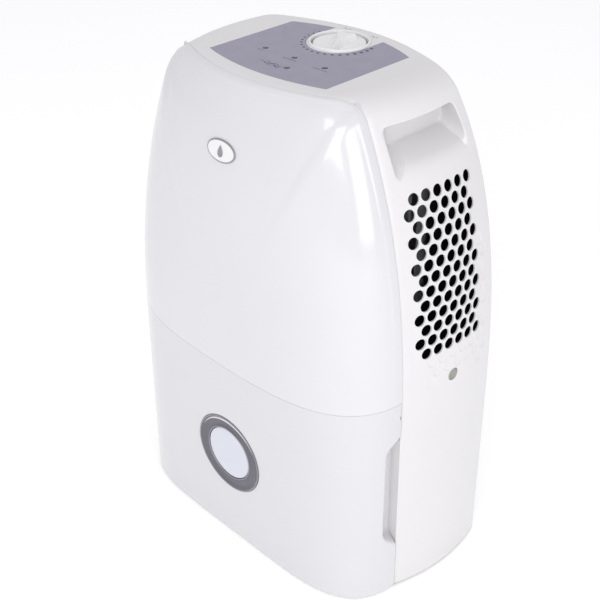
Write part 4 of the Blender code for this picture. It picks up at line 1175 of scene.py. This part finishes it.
def knob_height(x, y):
    """Height of the knob's top above the hood: a dished disc with a blade that widens to the back."""
    p = Vector((x, y))
    radius = p.length
    disc = 1.5 * MM - KNOB_DROP - KNOB_DISH * smooth(1 - radius / (KNOB_RADIUS - 1.5 * MM))
    from_tip = min(1.0, (p - BLADE_TIP).length / BLADE_LENGTH)
    bow = BLADE_WAIST * 4 * from_tip * (1 - from_tip)
    right = segment_side(p, BLADE_TIP, BLADE_RIGHT) + 1.6 * MM - 0.8 * bow
    left = segment_side(p, BLADE_LEFT, BLADE_TIP) + 1.6 * MM - 0.35 * bow
    rear = segment_side(p, BLADE_RIGHT, BLADE_LEFT) + 1.0 * MM
    blade = smooth(right / (2.4 * MM)) * smooth(left / (5 * MM)) * smooth(rear / (5 * MM))
    edge = smooth((KNOB_RADIUS - 0.4 * MM - radius) / (1.6 * MM))
    # a thumb hollow on the right of the blade's tip
    hollow = smooth(1.3 - (p - BLADE_TIP - HOLLOW).length / (12 * MM)) * smooth((2 * MM - right) / (3 * MM))
    hollow *= smooth((KNOB_RADIUS - MM - radius) / (4 * MM))
    return disc + (BLADE_HEIGHT + KNOB_DROP) * blade * edge - HOLLOW_DEPTH * hollow


def make_knob(material):
    """The knob from rows of points: its top from the middle out, its rounded edge, its side and its bore."""
    rows = []
    for radius in np.arange(0.5, KNOB_RADIUS / MM - 0.95, 0.5):
        rows.append([(x, y, knob_height(x, y)) for x, y in ring((0, 0), radius * MM, 160)])
    edge = []
    for degrees in (18, 36, 54, 72, 90):
        angle = math.radians(degrees)
        radius = KNOB_RADIUS - 1.0 * MM + 0.8 * MM * math.sin(angle)
        edge.append((radius, 0.7 * MM - KNOB_DROP + 0.8 * MM * math.cos(angle)))
    under, bore = -5.2 * MM, 3.4 * MM
    for radius, height in edge + [(KNOB_RADIUS - 0.2 * MM, under), (bore, under), (bore, -1 * MM)]:
        rows.append([(x, y, height) for x, y in ring((0, 0), radius, 160)])
    rows = [[Vector(p) + DIAL for p in row] for row in rows]
    knob = loft("dial_knob", rows, material, closed=True, sharp=40)
    close_up(knob, 40)
    return knob


def make_window(ring_metal, rim_metal, lens_white):
    """The dished ring, a thin rim at its outer and its inner edge, and the disc."""
    outer, inner = WINDOW_RADIUS / MM, LENS_RADIUS / MM

    def turned_window(name, profile, material):
        return turned(name, in_mm(profile), (0, WINDOW_BACK_Y, WINDOW_Z), (0, -1, 0), material, 160)

    dish = [
        (outer - 3.5, 0), (outer - 3.5, 6.4), (outer - 0.1, 6.5), (outer, 7.0), (outer - 0.35, 7.5),
        (outer - 1.0, 7.75), (outer - 1.9, 7.7), (outer - 2.8, 7.5), (outer - 3.6, 7.15), (outer - 4.5, 6.5),
        (outer - 6, 5.9), (outer - 8, 5.6), (outer - 10, 5.65), (inner + 3.6, 5.9), (inner + 2.6, 6.4),
        (inner + 2.0, 7.0), (inner + 1.3, 7.3), (inner + 0.7, 7.1), (inner + 0.35, 6.5), (inner + 0.3, 0),
        (outer - 3.5, 0),
    ]
    bezel = turned_window("window_ring", dish, ring_metal)
    rims = []
    turn = angles(12) + [2 * math.pi]
    places = (("outer", outer - 1.4, 7.4, 0.55), ("inner", inner + 1.25, 7.15, 0.5))
    for label, radius, height, size in places:
        profile = [(radius + size * 1.25 * math.cos(a), height + size * math.sin(a)) for a in turn]
        rims.append(turned_window(f"window_rim_{label}", profile, rim_metal))
    crown, fall = 7.35, 0.35
    dome = [(AXIS, crown)] + [(inner * i / 15, crown - fall * (i / 15) ** 2) for i in range(1, 15)]
    dome += [(28.4, 6.9), (28.85, 6.5), (28.85, -0.3), (AXIS, -0.3)]
    return bezel, rims, turned_window("window_disc", dome, lens_white)


def raised(shapes, z0):
    """Flat-topped shapes standing on the front panel, from (outline as x and dz, height of the top)."""
    points, faces = [], []
    edge = 0.25 * MM
    for loop, height in shapes:
        loop = turned_left(loop)
        small = grown(loop, -edge)
        start, count = len(points), len(loop)
        for line, lift in ((loop, 0.15 * MM), (loop, height - edge), (small, height)):
            for x, dz in line:
                points.append((x, float(front_surface(x, z0 + dz)) - lift, z0 + dz))
        foot, wall, top = (range(start + k * count, start + (k + 1) * count) for k in range(3))
        faces += band(foot, wall) + band(wall, top) + [tuple(top), tuple(reversed(foot))]
    return points, faces


def oval(half_width, half_height):
    return [(half_width * math.cos(a), half_height * math.sin(a)) for a in angles(64)]


def make_badge(silver, face_finish):
    """An oval plate with a silver rim, and a plain silver water drop on its pale face."""
    drop = [(4.2 * MM * math.sin(a) * math.sin(a / 2), 5.4 * MM * math.cos(a)) for a in angles(40)]
    plate, face = oval(17.6 * MM, 9.9 * MM), oval(16.3 * MM, 8.7 * MM)
    made = []
    for name, shapes, finish in (
        ("front_emblem", [(plate, 0.8 * MM), (drop, 1.4 * MM)], silver),
        ("front_emblem_face", [(face, 1.1 * MM)], face_finish),
    ):
        piece = make_object(name, *raised(shapes, BADGE_Z), finish)
        close_up(piece)
        made.append(piece)
    return made


def make_plug(material):
    """The drain's grey plug, with a raised rim round its face and a stem inside."""
    x = side_x(DRAIN_Z) - waist(side_x(DRAIN_Z), DRAIN_Y)
    r = PLUG_RADIUS / MM
    profile = [
        (AXIS, 13.2), (2.4, 13.25), (r - 1.6, 13.5), (r - 1.1, 14.0), (r - 0.6, 14.0), (r - 0.1, 13.6),
        (r, 13.0), (r, 4), (3, 4), (3, 0.4), (2.6, 0), (AXIS, 0),
    ]
    return turned("drain_bung", in_mm(profile), (x - 14.4 * MM, DRAIN_Y, DRAIN_Z), (1, 0, 0), material, 48)


# ---------------------------------------------------------------- stage

def make_stage():
    floor_finish = Finish("floor_pale", (0.93, 0.93, 0.93), 0.7)
    floor_finish.vary("Roughness", floor_finish.noise(6, 2), 0.65, 0.75)
    floor_finish.set("Emission Color", (1, 1, 1, 1))
    floor_finish.set("Emission Strength", 0.18)
    mesh = bpy.data.meshes.new("floor")
    corners = [(-6, -6, 0), (6, -6, 0), (6, 6, 0), (-6, 6, 0)]
    mesh.from_pydata(corners, [], [(0, 1, 2, 3)])
    mesh.materials.append(floor_finish.material)
    floor = link(bpy.data.objects.new("floor", mesh))
    world = bpy.data.worlds.new("studio")
    world.use_nodes = True
    background = world.node_tree.nodes["Background"].inputs
    background["Color"].default_value = (0.975, 0.97, 1, 1)
    background["Strength"].default_value = 0.78
    bpy.context.scene.world = world
    bpy.context.scene.view_settings.view_transform = "Standard"


def add_light(name, place, target, size, power):
    data = bpy.data.lights.new(name, "AREA")
    data.shape = "RECTANGLE"
    data.size, data.size_y = size
    data.energy = power
    light = link(bpy.data.objects.new(name, data))
    light.location = place
    light.rotation_euler = (Vector(target) - Vector(place)).to_track_quat("-Z", "Y").to_euler()


def make_lights():
    middle = (0, 0, 0.28)
    add_light("softbox_front", (1.0, -1.8, 1.4), (0, 0, 0.4), (1.3, 1.6), 17)
    add_light("softbox_right", (2.2, -0.75, 0.9), middle, (1.2, 1.5), 13)
    add_light("overhead", (-0.4, 0.2, 2.6), middle, (1.6, 1.6), 5)


CAMERA_PLACE = (0.6377, -0.6196, 0.8200)
CAMERA_TURN = (45.559, 32.613, -0.563)  # yaw, pitch down and roll in degrees


def make_camera():
    data = bpy.data.cameras.new("camera")
    data.sensor_width = 36
    data.lens = 63.77
    camera = link(bpy.data.objects.new("camera", data))
    yaw, pitch, roll = (math.radians(degrees) for degrees in CAMERA_TURN)
    ahead = Vector((-math.sin(yaw) * math.cos(pitch), math.cos(yaw) * math.cos(pitch), -math.sin(pitch)))
    right = Vector((math.cos(yaw), math.sin(yaw), 0))
    up = right.cross(ahead)
    tilted_right = right * math.cos(roll) + up * math.sin(roll)
    tilted_up = up * math.cos(roll) - right * math.sin(roll)
    basis = Matrix((tilted_right, tilted_up, -ahead)).transposed().to_4x4()
    camera.matrix_world = Matrix.Translation(CAMERA_PLACE) @ basis
    bpy.context.scene.camera = camera


# ---------------------------------------------------------------- assembly

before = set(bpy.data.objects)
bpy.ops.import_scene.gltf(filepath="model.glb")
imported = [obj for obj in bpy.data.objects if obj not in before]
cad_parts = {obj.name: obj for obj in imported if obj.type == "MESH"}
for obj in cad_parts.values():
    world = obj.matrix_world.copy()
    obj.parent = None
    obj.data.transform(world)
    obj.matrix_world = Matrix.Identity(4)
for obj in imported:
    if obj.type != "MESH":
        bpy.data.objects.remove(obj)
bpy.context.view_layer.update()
finishes = make_finishes()

# The CAD nodes that keep their shape, by finish
NODE_FINISH = {
    "black_paint": ["compressor"],
    "board_green": ["control_board"],
    "clear_plastic": ["water_tank"],
    "coil_aluminium": ["condenser", "evaporator"],
    "copper": ["capillary", "discharge_pipe", "suction_pipe"],
    "dark_plastic": ["air_filter", "base_pan", "drip_tray", "fan_wheel", "humidistat", "reed_switch"],
    "duct_black": ["fan_shroud"],
    "foam_white": ["float"],
    "rubber_grey": [
        "compressor_mount_front", "compressor_mount_left", "compressor_mount_right", "foot_front_left",
        "foot_front_right", "foot_rear_left", "foot_rear_right", "foot_side_left", "foot_side_right",
    ],
    "steel": [
        "compressor_foot", "cover_screw_lower_left", "cover_screw_lower_right", "cover_screw_upper_left",
        "cover_screw_upper_right", "fan_motor", "fan_shaft", "float_magnet", "humidistat_shaft",
        "run_capacitor",
    ],
    "white_plastic": ["bulkhead", "float_pin", "intake_grille", "rear_cover"],
}
for finish, nodes in NODE_FINISH.items():
    for node in nodes:
        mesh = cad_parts[node].data
        mesh.materials.clear()
        mesh.materials.append(finishes[finish])


def settle(pieces, body, slot, *nodes):
    """Makes each piece ride on a body and stand for the nodes. The slot is not used."""
    for piece in pieces:
        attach(piece, body)
        if nodes:
            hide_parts(*nodes)


white, knob_white_painted_light, print_dark = (finishes[name] for name in ("white_plastic", "knob_white_painted_light", "print_dark"))
settle([make_hood(white)], "casing", "white_plastic", "outer_housing")
settle(make_bay_frames(white), "casing", "white_plastic")
settle([make_front_panel(finishes["gloss_white"])], "casing", "gloss_white", "front_panel")
settle([make_tank_front(finishes["tank_white_painted_shade"])], "tank", "gloss_white", "tank_front")

bezel, rims, lens = make_window(finishes["bezel_grey"], finishes["silver"], finishes["lens_blue"])
settle([bezel], "tank", "bezel_grey", "window_bezel")
settle([lens], "tank", "lens_blue", "window_lens")
settle(rims, "tank", "silver")

settle([make_panel(finishes["panel_grey"])], "casing", "panel_grey", "control_panel")
settle([make_marks(print_dark), make_top_marks(print_dark)], "casing", "lamp_dark")
for name, piece in make_leds(finishes["lamp_dark"]).items():
    settle([piece], "casing", "lamp_dark", name)
settle([make_collar(knob_white_painted_light)], "casing", "white_plastic", "dial_bezel")
settle([make_knob(knob_white_painted_light)], "knob", "white_plastic", "control_knob")
settle(make_badge(finishes["badge_silver"], knob_white_painted_light), "casing", "silver", "badge")
settle([make_plug(finishes["rubber_grey"])], "plug", "rubber_grey", "drain_plug")

make_stage()
make_lights()
make_camera()
